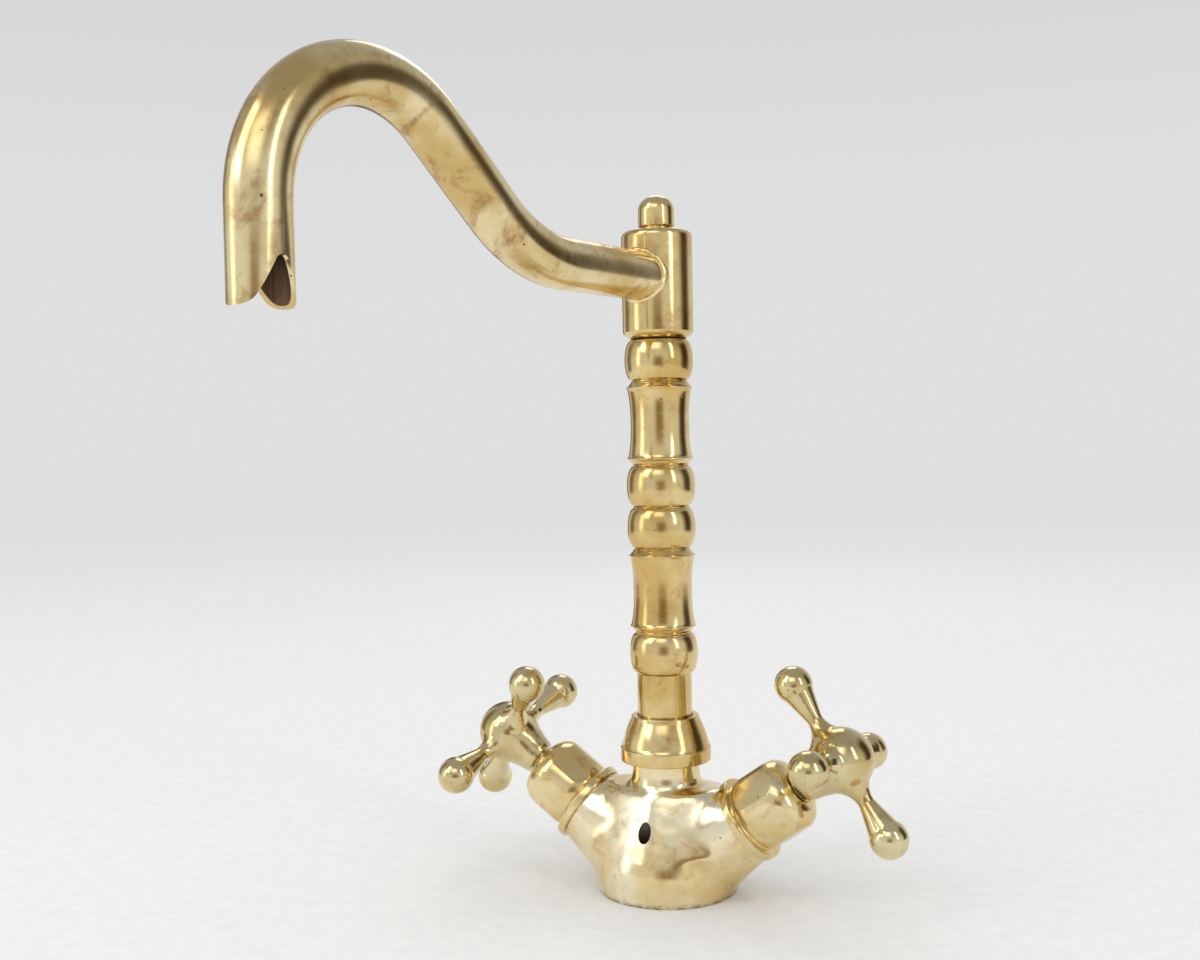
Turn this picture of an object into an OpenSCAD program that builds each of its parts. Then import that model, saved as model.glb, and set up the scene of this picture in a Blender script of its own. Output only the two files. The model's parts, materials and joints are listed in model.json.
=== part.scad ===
// Two handle single hole basin mixer in polished brass.
// The origin is the middle of the base's underside, +Z is up and -Y is the front.
// Hot water is on the left, at -X, and cold water on the right, at +X.

/* [Body casting] */
// Diameter of the round foot of the body
base_d = 51; // [48:0.5:56]
// Height at which the arms' axes meet the upright axis
arm_axis_z = 5.4; // [5:0.2:7]
// Angle of each arm above the counter, degrees
arm_tilt = 35.6; // [34:0.2:37]
// Distance along an arm's axis to its end face
arm_end_t = 38; // [36:0.5:42]
// Diameter of an arm at its end face
arm_end_d = 28.6; // [28:0.2:30]
// Widening of an arm's radius for each millimetre towards its root
arm_flare = 0.17; // [0.05:0.01:0.2]
// Diameter of the visible neck under the collar nut
neck_d = 24.6; // [24.2:0.2:26]
// Height of the shoulder on which the collar nut seats
neck_z = 47; // [45:0.5:50]
// Height at which the sloping shoulders of the body reach the neck's fillet
shoulder_z = 36.5; // [35:0.5:38]
// Radius of the body where the shoulders end
shoulder_r = 15; // [14:0.2:16]
// Height at which the sloping shoulders start
bowl_z = 14; // [12:0.5:16]
// Amount by which the body is narrower at the top of the bowl than at the foot
bowl_draw = 0.2; // [0:0.1:1.4]
// Amount by which the bowl bulges out above the foot
bowl_bulge = 0.8; // [0.2:0.1:1.2]
// Height at which the webs between the middle and the arms meet the upright axis
web_z = 14.5; // [13.5:0.5:15.5]
// Angle of each web above the counter, degrees
web_tilt = 22; // [20:1:24]
// Diameter of a web at the upright axis
web_root_d = 39; // [36:0.5:40]
// Diameter of a web at the arm's end
web_end_d = 26.2; // [25:0.2:26.6]
// Distance from the axis to the middle of each saddle cone, which broadens the body between the arms
saddle_x = 9; // [7:0.5:10]
// Height of a saddle cone's root, inside the body
saddle_z = 16; // [15:0.5:17]
// Height of the saddle's flat top
saddle_top_z = 37.6; // [36:0.1:38]
// Diameter of a saddle cone at its root
saddle_root_d = 38.8; // [38:0.2:39.4]
// Diameter of a saddle cone at its top
saddle_top_d = 24.4; // [23:0.2:25]
// Diameter of the hole in the front of the body
front_hole_d = 4.6; // [3:0.2:5]
// Depth of the hole in the front of the body, from the shoulder at its height
front_hole_depth = 8; // [5:0.5:10]
// Angle of the hole in the front of the body above the counter, degrees
front_hole_tilt = 76; // [60:1:80]
// Height of the hole in the front of the body
front_hole_z = 25; // [22:0.5:28]

/* [Waterways and fixings in the body] */
// Diameter of the threaded inlets in the underside
inlet_d = 10; // [9:0.5:11]
// Depth of the threaded part of the inlets
inlet_depth = 10; // [8:0.5:11]
// Length of the waterway under a valve seat
port_len = 5; // [4:0.5:6]
// Distance of each inlet from the upright axis
inlet_x = 11.5; // [11:0.1:12]
// Diameter of the waterway above an inlet and of the port in a valve seat
port_d = 7; // [5:0.5:8]
// Diameter of the stud hole in the middle of the underside
stud_d = 8; // [6:0.5:9]
// Depth of the stud hole
stud_depth = 12; // [10:0.5:14]
// Diameter of the mixing chamber
mix_d = 13; // [10:0.5:13.5]
// Height of the mixing chamber's floor
mix_floor_z = 20; // [18:0.5:21]
// Diameter of the passages from the valve chambers to the mixing chamber
outlet_way_d = 6; // [4:0.5:7]
// Height of those passages
outlet_way_z = 28.5; // [27.5:0.1:29]
// Reach of those passages from the upright axis
outlet_way_reach = 16; // [14:0.5:18]
// Distance along an arm's axis to the valve seat
seat_t = 17; // [16.5:0.1:18]
// Diameter of the valve chamber
chamber_d = 18.6; // [17.8:0.2:19]
// Distance along an arm's axis at which the valve thread starts
thread_t = 29.5; // [28.5:0.1:30.5]
// Depth of the pocket for the cartridge's sealing ring
ring_pocket_h = 1.4; // [1.2:0.1:1.6]
// Width of that pocket round the thread
ring_pocket_w = 1.2; // [1:0.1:1.3]
// Diameter of the valve thread
valve_thread_d = 20.8; // [20.2:0.1:21]

/* [Base gasket] */
// Diameter of the gasket ring's own middle line
gasket_d = 44; // [42:0.5:45]
// Thickness of the gasket ring
gasket_wire_d = 2.6; // [2:0.1:3]

/* [Collar nut] */
// Diameter of the collar's band
collar_d = 32.8; // [31:0.2:35]
// Height of the collar's band
collar_band_h = 5; // [4:0.2:7]
// Height of the whole collar
collar_h = 16.4; // [16:0.2:18]
// Diameter of the collar's top rim
collar_top_d = 24.6; // [24:0.2:27]
// Diameter of the thread between the neck and the collar
neck_thread_d = 23; // [22.4:0.1:23.4]
// Height of the thread on the neck
neck_thread_h = 10; // [9:0.5:11]
// Thickness of the slip ring that holds the column down
slip_ring_h = 2.2; // [1.6:0.1:2.4]

/* [Turned column] */
// Diameter of the plain tube above the collar
tube_d = 19.8; // [19.2:0.1:20.4]
// Height at which the turned beads start
turning_z = 78.6; // [76:0.2:82]
// Height of one bead
bead_h = 15.1; // [14:0.1:16]
// Greatest diameter of a bead
bead_d = 24.8; // [23:0.1:26]
// How fast a bead narrows to its ends: 1 gives an ellipse
bead_curve = 1.15; // [0.6:0.05:1.6]
// Diameter of the grooves between the turnings
groove_d = 20.6; // [20.2:0.1:21.4]
// Height of one waisted spool
spool_h = 30.3; // [28:0.1:32]
// Diameter of a spool's two lips
spool_lip_d = 24; // [22.8:0.1:24.4]
// Diameter of a spool's waist
spool_waist_d = 21.2; // [21:0.1:22.2]
// Height of the small cone outside each lip
spool_cone_h = 2.2; // [2:0.1:4]
// How fast a spool widens from its waist to its lips: 2 gives an even curve
spool_curve = 2.6; // [2:0.1:4]
// Diameter of the waterway through the column
column_bore_d = 13; // [10:0.5:13.5]
// Diameter of the spigot that turns in the neck
spigot_d = 17.8; // [17:0.1:18.2]
// Height of the spigot's lower end
spigot_z = 36; // [35.6:0.1:38]
// Thickness of the spigot's sealing rings
spigot_ring_wire_d = 1.6; // [1.2:0.1:1.8]
// Distance between the two sealing rings
spigot_ring_gap = 7; // [5:0.5:8]

/* [Spout hub and finial] */
// Diameter of the hub
hub_d = 25.6; // [24.4:0.2:27]
// Height of the hub
hub_h = 38.7; // [34:0.1:40]
// Height of the chamfer under the hub
hub_chamfer_h = 2; // [1:0.1:3]
// Radius of the hub's rounded top edge
hub_edge_r = 2.4; // [0.5:0.1:3]
// Diameter of the cavity inside the hub
hub_bore_d = 17; // [15:0.5:18]
// Thickness of the hub's top
hub_top_t = 6; // [4:0.5:7]
// Diameter of the finial
finial_d = 13; // [12:0.2:15]
// Height of the finial above the hub
finial_h = 13; // [12:0.1:19]
// Diameter of the finial's threaded stem
finial_stem_d = 9; // [7:0.5:10]
// Height of the finial's domed top
finial_dome_h = 5.5; // [3:0.1:6.4]
// Depth of the groove round the finial's foot
finial_groove = 0.5; // [0.3:0.1:1]
// Height of the narrow foot below the finial's post
finial_foot_h = 1.3; // [0.8:0.1:2]

/* [Swan neck spout] */
// Outer diameter of the spout tube
spout_d = 17.4; // [16:0.1:18.4]
// Wall of the spout tube
spout_wall = 1.5; // [1:0.1:2.5]
// Distance from the hub's foot up to the spout's axis
spout_rise = 21.9; // [20:0.1:23]
// Horizontal run from the hub's axis to the first bend
spout_run = 54.9; // [45:0.5:65]
// Radius of the first bend
low_bend_r = 57.9; // [45:0.5:70]
// Angle to which the first bend climbs, degrees
climb_angle = 39; // [30:1:50]
// Length of the straight climb
climb_run = 33.8; // [20:0.5:45]
// Radius of the crest
crest_r = 39.4; // [32:0.5:48]
// Length of the straight drop at the outlet
drop_run = 27; // [22:0.5:40]
// Angle of the spout from the front towards the hot side, degrees
spout_turn = 10; // [0:1:30]
// Width of the notch at the outlet's lower edge
notch_w = 15.4; // [12:0.2:16]
// Height of the notch in the outlet
notch_h = 13; // [9:0.5:15]
// Radius of the notch's rounded top
notch_r = 2.2; // [1.5:0.1:3]
// Amount by which the tube is thinner in its bends than in its straight lengths
bend_step = 0.1; // [0.08:0.02:0.2]
// Length by which each straight runs on into a bend
bend_lap = 1; // [0.5:0.1:2]
// Size of the brazed bead round the spout's root
braze_size = 1.1; // [0.6:0.1:1.8]

/* [Bonnets] */
// Diameter of a bonnet's foot flange
bonnet_flange_d = 31; // [30.4:0.2:32]
// Thickness of a bonnet's foot flange
bonnet_flange_t = 3; // [2.4:0.1:4]
// Diameter of a bonnet's barrel
bonnet_d = 27.6; // [27:0.2:29]
// Diameter of the neck between a bonnet's flange and its barrel
bonnet_neck_d = 25.4; // [25:0.1:26]
// Length over which the neck widens to the barrel
bonnet_neck_h = 4.4; // [3:0.2:6]
// Distance across a bonnet's flats
bonnet_flats = 26; // [25.4:0.1:27.4]
// Length of a bonnet from its foot to its domed end
bonnet_h = 24.4; // [24:0.2:25.2]
// Diameter of the cavity in a bonnet
bonnet_cavity_d = 20.4; // [20:0.2:21]
// Depth of the cavity in a bonnet
bonnet_cavity_h = 17; // [16:0.2:18]
// Radius of the rounding of a bonnet's domed end
bonnet_dome_r = 7.8; // [7:0.1:10]
// Turn of the hot bonnet's flats, degrees
hot_bonnet_turn = 23; // [0:1:59]
// Turn of the cold bonnet's flats, degrees
cold_bonnet_turn = 51; // [0:1:59]

/* [Valve cartridges] */
// Diameter of a cartridge below its thread
cartridge_d = 16.8; // [16.4:0.1:17.4]
// Diameter of a cartridge's flange
cartridge_flange_d = 24.4; // [24:0.1:24.8]
// Thickness of a cartridge's flange
cartridge_flange_t = 1.2; // [1:0.1:1.5]
// Distance across a cartridge's hexagon
cartridge_hex = 17; // [16:0.5:17]
// Height of a cartridge's hexagon
cartridge_hex_h = 4; // [3:0.2:5]
// Diameter of the round part above the hexagon
cartridge_barrel_d = 14; // [13:0.5:15]
// Diameter of a cartridge's threaded nose
nose_d = 11; // [10.6:0.1:11.6]
// Diameter of the disc pocket in a cartridge
disc_pocket_d = 14.4; // [14:0.1:14.6]
// Thickness of the seat seal
seat_seal_h = 1.9; // [1.4:0.1:2.4]
// Thickness of a ceramic disc
disc_h = 3; // [2.4:0.1:3.2]
// Thickness of the glide washer
glide_h = 0.8; // [0.6:0.1:1]
// Height of the spindle's drive flange
drive_h = 4; // [3:0.1:4.4]
// Diameter of a spindle's stem
spindle_d = 7.9; // [7.5:0.1:8.2]
// Height of the side windows in a cartridge
window_h = 4; // [3:0.2:4.4]
// Width of the side windows in a cartridge
window_w = 7; // [5:0.5:9]
// Width of the two slots in the drive flange
drive_slot_w = 4.8; // [3:0.2:5]
// Thickness of the drive flange above its slots
drive_floor_h = 1.6; // [1.4:0.1:2]
// Thickness of the rubber ring round a spindle
spindle_ring_wire_d = 1; // [0.9:0.05:1.2]
// Thickness of a circlip
circlip_h = 0.7; // [0.6:0.1:0.8]
// Width of a circlip's opening
circlip_slot = 3; // [2:0.5:4]
// Angle that a disc's opening spans, degrees
disc_slot_angle = 80; // [60:1:84]
// Radius of a disc opening's inner edge
disc_slot_in_r = 1.6; // [1.4:0.1:2]
// Radius of a disc opening's outer edge
disc_slot_out_r = 5; // [4.5:0.1:5.4]

/* [Cross handles] */
// Distance along an arm's axis to the middle of the cross
cross_t = 80; // [79:0.5:84]
// Distance from the handle's axis to the middle of a ball
ball_reach = 30.2; // [27:0.2:34]
// Diameter of a ball
ball_d = 13.5; // [12:0.1:15]
// Diameter of a spoke at its thinnest place
spoke_d = 5.6; // [5:0.1:7]
// Distance from the handle's axis to a spoke's thinnest place
spoke_waist = 16.4; // [15.6:0.2:17.2]
// Radius of the fillet between a spoke and the hub
spoke_fillet_r = 8.8; // [8:0.1:9.6]
// Diameter of the rounded hub of the cross
cross_hub_d = 22.6; // [22:0.2:24]
// Distance from the spokes' plane to the middle of the rounded hub
cross_hub_shift = 0.6; // [0:0.1:1.4]
// Diameter of the skirt's foot
skirt_foot_d = 12.6; // [11.6:0.2:14]
// Distance from the spokes' plane down to the skirt's foot
skirt_h = 16; // [15:0.1:16.2]
// Diameter of the skirt where it starts to widen into the hub
skirt_waist_d = 14.8; // [14:0.2:16]
// Distance from the spokes' plane down to that place
skirt_waist_h = 11.5; // [10:0.1:12.5]
// Depth of the socket for the spindle
socket_depth = 14; // [11:0.5:14.5]
// Distance from the spokes' plane down to the grub screw
grub_drop = 9; // [8:0.5:11]
// Length of the grub screw
grub_h = 3.4; // [3:0.1:4]
// Diameter of the grub screw
grub_d = 4; // [3:0.5:4.5]
// Turn of the hot cross, degrees
hot_cross_turn = 62; // [0:1:89]
// Turn of the cold cross, degrees
cold_cross_turn = 83; // [0:1:89]

/* [Clearances] */
// Radial gap of a threaded or brazed joint
thread_gap = 0.05; // [0.03:0.01:0.08]
// Radial gap of a turning fit
running_gap = 0.08; // [0.05:0.01:0.1]
// Gap between pieces that move past each other
free_gap = 0.3; // [0.25:0.05:0.5]
// Gap along the axis at faces that slide on each other
slide_gap = 0.1; // [0.06:0.02:0.14]

/* [Hidden] */

$fn = 64;
tiny = 0.01;

brass = "#C9A65A";
bright_brass = "#D9BE7C";
rubber = "#1F1F21";
nylon = "#E8E4D8";
ceramic = "#F2EEE6";
steel = "#B8BCC0";

// Heights along the upright axis
base_r = base_d / 2;
neck_fillet_z = shoulder_z + 6;
neck_top_z = neck_z + neck_thread_h;
collar_top_z = neck_z + collar_h;
slip_z = neck_top_z + slide_gap;
tube_foot_z = slip_z + slip_ring_h + slide_gap;
column_top_z = turning_z + 4 * bead_h + 2 * spool_h;
hub_top_z = column_top_z + hub_h;
spout_z = column_top_z + spout_rise;
finial_top_z = hub_top_z + finial_h;
neck_bore_d = spigot_d + 2 * running_gap;
tenon_d = hub_bore_d - 2 * thread_gap;
tenon_h = 7;

// Distances along an arm's axis, from where it meets the upright axis
ring_seat_t = arm_end_t - ring_pocket_h;
ring_pocket_d = valve_thread_d + 2 * ring_pocket_w;
cartridge_top_t = arm_end_t + bonnet_h - 0.6;
hex_t = arm_end_t + cartridge_flange_t;
barrel_t = hex_t + cartridge_hex_h;
cavity_t = arm_end_t + bonnet_cavity_h;
fixed_disc_t = seat_t + seat_seal_h;
moving_disc_t = fixed_disc_t + disc_h + slide_gap;
drive_t = moving_disc_t + disc_h;
glide_t = drive_t + drive_h + slide_gap;
pocket_top_t = glide_t + glide_h + slide_gap;
skirt_foot_t = cross_t - skirt_h;
clip_t = cartridge_top_t + slide_gap;
clip_groove_d = spindle_d - 1.2;
circlip_d = nose_d - 1;
spindle_ring_t = barrel_t + 3;
spindle_top_t = skirt_foot_t + socket_depth - free_gap;
spindle_bore_d = spindle_d + 2 * running_gap;
drive_d = disc_pocket_d - 2 * free_gap;
drive_x = drive_d / 2 - 1.3;
shoulder_slope = (base_r - bowl_draw - shoulder_r) / (shoulder_z - bowl_z);
front_hole_r = shoulder_r + (shoulder_z - front_hole_z) * shoulder_slope;
spout_in_d = spout_d - 2 * spout_wall;
spout_root_s = hub_bore_d / 2 - 0.4;
bend_s = spout_run + low_bend_r * sin(climb_angle);
bend_z = low_bend_r * (1 - cos(climb_angle));
crest_s = bend_s + climb_run * cos(climb_angle) + crest_r * sin(climb_angle);
crest_z = bend_z + climb_run * sin(climb_angle) - crest_r * cos(climb_angle);
outlet_z = crest_z - drop_run;

// Points of an arc in the plane, from one angle to another
function arc(cx, cy, r, from, to, steps = 8) =
    [for (i = [0:steps]) let(a = from + (to - from) * i / steps) [cx + r * cos(a), cy + r * sin(a)]];

// A round ring of round section
module round_ring(mid_d, wire_d, z) {
    translate([0, 0, z]) rotate_extrude() translate([mid_d / 2, 0]) circle(d = wire_d);
}

// A flat ring between two heights
module flat_ring(out_d, in_d, z, h) {
    translate([0, 0, z]) difference() {
        cylinder(d = out_d, h = h);
        translate([0, 0, -tiny]) cylinder(d = in_d, h = h + 2 * tiny);
    }
}

// Places what is drawn along +Z on an arm: side is -1 for hot and 1 for cold
module on_arm(side) {
    translate([0, 0, arm_axis_z]) rotate([0, side * (90 - arm_tilt), 0]) children();
}

// Turns what is drawn with the spout towards the front to its resting angle
module on_spout() {
    rotate([0, 0, -spout_turn]) children();
}

// Body casting

// Outline of the body's round middle: bowl, sloping shoulders, fillet and neck
module body_outline() {
    fillet_w = shoulder_r - neck_d / 2;
    fillet_h = neck_fillet_z - shoulder_z;
    polygon(concat(
        [[0, 0], [base_r - 0.5, 0], [base_r, 0.6]],
        [for (a = [15:15:75]) [base_r + bowl_bulge * sin(2 * a), bowl_z * a / 90]],
        [[base_r - bowl_draw, bowl_z]],
        [for (a = [0:15:90]) [
            neck_d / 2 + fillet_w * (1 - sin(a)),
            shoulder_z + fillet_h * (1 - cos(a))
        ]],
        [[neck_d / 2, neck_z], [neck_thread_d / 2, neck_z]],
        [[neck_thread_d / 2, neck_top_z], [0, neck_top_z]]
    ));
}

module arm_blank(side) {
    root_t = seat_t - port_len;
    end_r = arm_end_d / 2;
    root_r = end_r + arm_flare * (arm_end_t - root_t);
    on_arm(side) translate([0, 0, root_t]) cylinder(r1 = root_r, r2 = end_r, h = arm_end_t - root_t);
}

// Web that fills the corner between the body's middle and an arm, ended short of the bonnet's seat
module web_blank(side) {
    intersection() {
        translate([0, 0, web_z]) rotate([0, side * (90 - web_tilt), 0])
            cylinder(d1 = web_root_d, d2 = web_end_d, h = arm_end_t);
        on_arm(side) cylinder(r = 2 * arm_end_t, h = arm_end_t - bonnet_flange_t / 2);
    }
}

module valve_bores(side) {
    on_arm(side) {
        translate([0, 0, seat_t - port_len]) cylinder(d = port_d, h = port_len + tiny);
        translate([0, 0, seat_t]) cylinder(d = chamber_d, h = thread_t - seat_t + tiny);
        translate([0, 0, thread_t]) cylinder(d = valve_thread_d, h = arm_end_t - thread_t + 1);
        translate([0, 0, ring_seat_t]) cylinder(d = ring_pocket_d, h = ring_pocket_h + 1);
    }
    translate([side * inlet_x, 0, -1]) cylinder(d = inlet_d, h = inlet_depth + 1);
    translate([side * inlet_x, 0, 0]) cylinder(d = port_d, h = arm_axis_z + inlet_x * tan(arm_tilt));
    translate([0, 0, outlet_way_z]) rotate([0, side * 90, 0]) cylinder(d = outlet_way_d, h = outlet_way_reach);
}

// Cone beside the axis that makes the body's front broad and its saddle flat
module saddle_blank(side) {
    translate([side * saddle_x, 0, saddle_z])
        cylinder(d1 = saddle_root_d, d2 = saddle_top_d, h = saddle_top_z - saddle_z);
}

module mixer_body() {
    below = 2 * base_d;
    color(brass) difference() {
        union() {
            rotate_extrude() body_outline();
            difference() {
                union() {
                    arm_blank(-1);
                    arm_blank(1);
                    web_blank(-1);
                    web_blank(1);
                    saddle_blank(-1);
                    saddle_blank(1);
                }
                translate([-below, -below, -2 * below]) cube(2 * below);
            }
        }
        valve_bores(-1);
        valve_bores(1);
        translate([0, 0, -1]) cylinder(d = stud_d, h = stud_depth + 1);
        translate([0, 0, mix_floor_z]) cylinder(d = mix_d, h = neck_top_z);
        translate([0, 0, spigot_z - 0.5]) cylinder(d = neck_bore_d, h = neck_top_z);
        translate([0, -front_hole_r, front_hole_z]) rotate([90 - front_hole_tilt, 0, 0])
            translate([0, 0, -front_hole_depth]) cylinder(d = front_hole_d, h = 2 * front_hole_depth);
        flat_ring(gasket_d + gasket_wire_d, gasket_d - gasket_wire_d, -1, gasket_wire_d + 1);
    }
}

module base_gasket() {
    color(rubber) round_ring(gasket_d, gasket_wire_d, gasket_wire_d / 2);
}

// Collar nut and slip ring

module collar_nut() {
    r = collar_d / 2;
    color(brass) difference() {
        translate([0, 0, neck_z]) rotate_extrude() polygon(concat(
            [[0, 0], [r - 1, 0]],
            arc(r - 1, 1, 1, -90, 0, 4),
            [[r, collar_band_h - 0.6], [r - 0.6, collar_band_h]],
            [[collar_top_d / 2 + 0.1, collar_h - 0.5], [collar_top_d / 2 - 0.4, collar_h], [0, collar_h]]
        ));
        translate([0, 0, neck_z - 1])
            cylinder(d = neck_thread_d + 2 * thread_gap, h = tube_foot_z - neck_z + 1);
        translate([0, 0, neck_z]) cylinder(d = tube_d + 2 * free_gap, h = collar_h + 1);
    }
}

module slip_ring() {
    color(nylon) difference() {
        flat_ring(neck_thread_d - 0.4, spigot_d - 2 + 2 * slide_gap, slip_z, slip_ring_h);
        translate([0, -0.6, slip_z - 1]) cube([neck_thread_d, 1.2, slip_ring_h + 2]);
    }
}

// Turned column

// Half outline of a bead, from its lower groove to its upper groove
function bead_points(z) =
    let(g = groove_d / 2, b = bead_d / 2, m = bead_h / 2)
    [for (a = [-90:15:90]) [g + (b - g) * pow(cos(a), bead_curve), z + m + (m - 0.2) * sin(a)]];

// Half outline of a spool: a lip at each end and a hollow waist between them
function spool_points(z) =
    let(
        g = groove_d / 2,
        lip = spool_lip_d / 2,
        waist = spool_waist_d / 2,
        half = spool_h / 2 - spool_cone_h - 0.8,
        mid = z + spool_h / 2
    )
    concat(
        [[g, z + 0.2], [lip - 0.3, z + spool_cone_h], [lip, z + spool_cone_h + 0.3]],
        [for (i = [-6:6]) [waist + (lip - waist - 0.4) * pow(abs(i) / 6, spool_curve), mid + half * i / 6]],
        [[lip, z + spool_h - spool_cone_h - 0.3], [lip - 0.3, z + spool_h - spool_cone_h]],
        [[g, z + spool_h - 0.2]]
    );

module column_outline() {
    bead_z = [0, bead_h + spool_h, 2 * bead_h + spool_h, 3 * bead_h + 2 * spool_h];
    spool_z = [bead_h, 3 * bead_h + spool_h];
    polygon(concat(
        [[0, spigot_z], [spigot_d / 2 - 0.6, spigot_z], [spigot_d / 2, spigot_z + 0.6]],
        [[spigot_d / 2, neck_top_z - slide_gap], [spigot_d / 2 - 1, neck_top_z - slide_gap]],
        [[spigot_d / 2 - 1, tube_foot_z], [tube_d / 2, tube_foot_z], [tube_d / 2, turning_z]],
        bead_points(turning_z + bead_z[0]),
        spool_points(turning_z + spool_z[0]),
        bead_points(turning_z + bead_z[1]),
        bead_points(turning_z + bead_z[2]),
        spool_points(turning_z + spool_z[1]),
        bead_points(turning_z + bead_z[3]),
        [[groove_d / 2, column_top_z], [tenon_d / 2, column_top_z]],
        [[tenon_d / 2, column_top_z + tenon_h], [0, column_top_z + tenon_h]]
    ));
}

lower_ring_z = spigot_z + 4;
upper_ring_z = lower_ring_z + spigot_ring_gap;
ring_groove_d = spigot_d - 2 * spigot_ring_wire_d;

module column() {
    groove_h = spigot_ring_wire_d + 0.5;
    color(brass) difference() {
        rotate_extrude() column_outline();
        translate([0, 0, spigot_z - 1]) cylinder(d = column_bore_d, h = column_top_z);
        for (z = [lower_ring_z, upper_ring_z])
            flat_ring(spigot_d + 2, ring_groove_d, z - groove_h / 2, groove_h);
    }
}

module spigot_ring(z) {
    color(rubber) round_ring(spigot_d - spigot_ring_wire_d, spigot_ring_wire_d, z);
}

module upper_spigot_ring() {
    spigot_ring(upper_ring_z);
}

module lower_spigot_ring() {
    spigot_ring(lower_ring_z);
}

// Hub, spout and finial

module hub_outline() {
    r = hub_d / 2;
    e = hub_edge_r;
    polygon(concat(
        [[0, 0], [groove_d / 2, 0], [r, hub_chamfer_h]],
        arc(r - e, hub_h - e, e, 0, 90, 6),
        [[0, hub_h]]
    ));
}

// A length of round bar along the spout's level root, from one distance to another
module root_bar(d, from, to) {
    on_spout() translate([0, 0, spout_z]) rotate([90, 0, 0]) translate([0, 0, from])
        cylinder(d = d, h = to - from);
}

module spout_hub() {
    color(brass) difference() {
        translate([0, 0, column_top_z]) rotate_extrude() hub_outline();
        translate([0, 0, column_top_z - 1]) cylinder(d = hub_bore_d, h = hub_h - hub_top_t + 1);
        translate([0, 0, column_top_z]) cylinder(d = finial_stem_d + 2 * thread_gap, h = hub_h + 1);
        root_bar(spout_d + 2 * thread_gap, 0, hub_d);
    }
}

module braze_bead() {
    reach = hub_d / 2 + braze_size;
    color(bright_brass) difference() {
        intersection() {
            translate([0, 0, spout_z - spout_d]) cylinder(r = reach, h = 2 * spout_d);
            root_bar(spout_d + 2 * braze_size, 0, reach + 5);
        }
        translate([0, 0, spout_z - 2 * spout_d]) cylinder(d = hub_d + 2 * thread_gap, h = 4 * spout_d);
        root_bar(spout_d + 2 * thread_gap, 0, 2 * hub_d);
    }
}

// One curved stretch of the spout's path, drawn in the plane of the spout
module bend(d, r, from, to) {
    rotate_extrude(angle = to - from, start = from) translate([r, 0]) circle(d = d - bend_step);
}

// One straight stretch along +X, which laps over the bends at its ends
module straight(d, from, to) {
    translate([from, 0, 0]) rotate([0, 90, 0]) cylinder(d = d, h = to - from);
}

// The spout's whole path as a round bar, standing up in the XZ plane with its front at +X.
// Each stretch is placed at the end of the one before it.
module spout_bar(d, start, extra) {
    rotate([90, 0, 0]) {
        straight(d, start, spout_run + bend_lap);
        translate([spout_run, low_bend_r, 0]) {
            bend(d, low_bend_r, -90, climb_angle - 90);
            rotate([0, 0, climb_angle]) translate([0, -low_bend_r, 0]) {
                straight(d, -bend_lap, climb_run + bend_lap);
                translate([climb_run, -crest_r, 0]) {
                    bend(d, crest_r, -climb_angle, 90);
                    rotate([0, 0, -90 - climb_angle]) translate([0, crest_r, 0])
                        straight(d, -bend_lap, drop_run + extra);
                }
            }
        }
    }
}

// The notch through both sides of the outlet: straight flanks that meet in a round top
module outlet_notch() {
    rise = notch_h - notch_r;
    flank = atan2(notch_w / 2, rise) - asin(notch_r / norm([notch_w / 2, rise]));
    tip_x = notch_r * cos(flank);
    tip_y = rise + notch_r * sin(flank);
    translate([crest_s + crest_r, 0, outlet_z]) rotate([90, 0, 0])
        linear_extrude(2 * spout_d, center = true) union() {
            translate([0, rise]) circle(r = notch_r);
            polygon([[-notch_w / 2, -2], [-notch_w / 2, 0], [-tip_x, tip_y], [tip_x, tip_y],
                [notch_w / 2, 0], [notch_w / 2, -2]]);
        }
}

module swan_neck_spout() {
    color(brass) on_spout() rotate([0, 0, -90]) translate([0, 0, spout_z]) difference() {
        spout_bar(spout_d, spout_root_s, 0);
        spout_bar(spout_in_d, spout_root_s - 1, 1);
        outlet_notch();
    }
}

module finial() {
    r = finial_d / 2;
    color(brass) translate([0, 0, hub_top_z]) union() {
        rotate_extrude() polygon(concat(
            [[0, 0], [r - finial_groove, 0], [r - finial_groove, finial_foot_h]],
            [[r, finial_foot_h + finial_groove]],
            [for (a = [0:10:90]) [r * cos(a), finial_h - finial_dome_h * (1 - sin(a))]]
        ));
        translate([0, 0, -hub_top_t - 1]) cylinder(d = finial_stem_d, h = hub_top_t + 1.5);
    }
}

// Bonnets

module bonnet_outline() {
    r = bonnet_d / 2;
    f = bonnet_flange_d / 2;
    n = bonnet_neck_d / 2;
    neck_t = bonnet_flange_t + 0.4;
    polygon(concat(
        [[0, 0], [f - 0.5, 0]],
        arc(f - 0.7, bonnet_flange_t - 0.7, 0.7, 0, 90, 4),
        [[n + 0.4, bonnet_flange_t], [n, neck_t]],
        [for (a = [15:15:90]) [n + (r - n) * sin(a), neck_t + bonnet_neck_h * a / 90]],
        arc(r - bonnet_dome_r, bonnet_h - bonnet_dome_r, bonnet_dome_r, 0, 90, 10),
        [[0, bonnet_h]]
    ));
}

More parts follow.
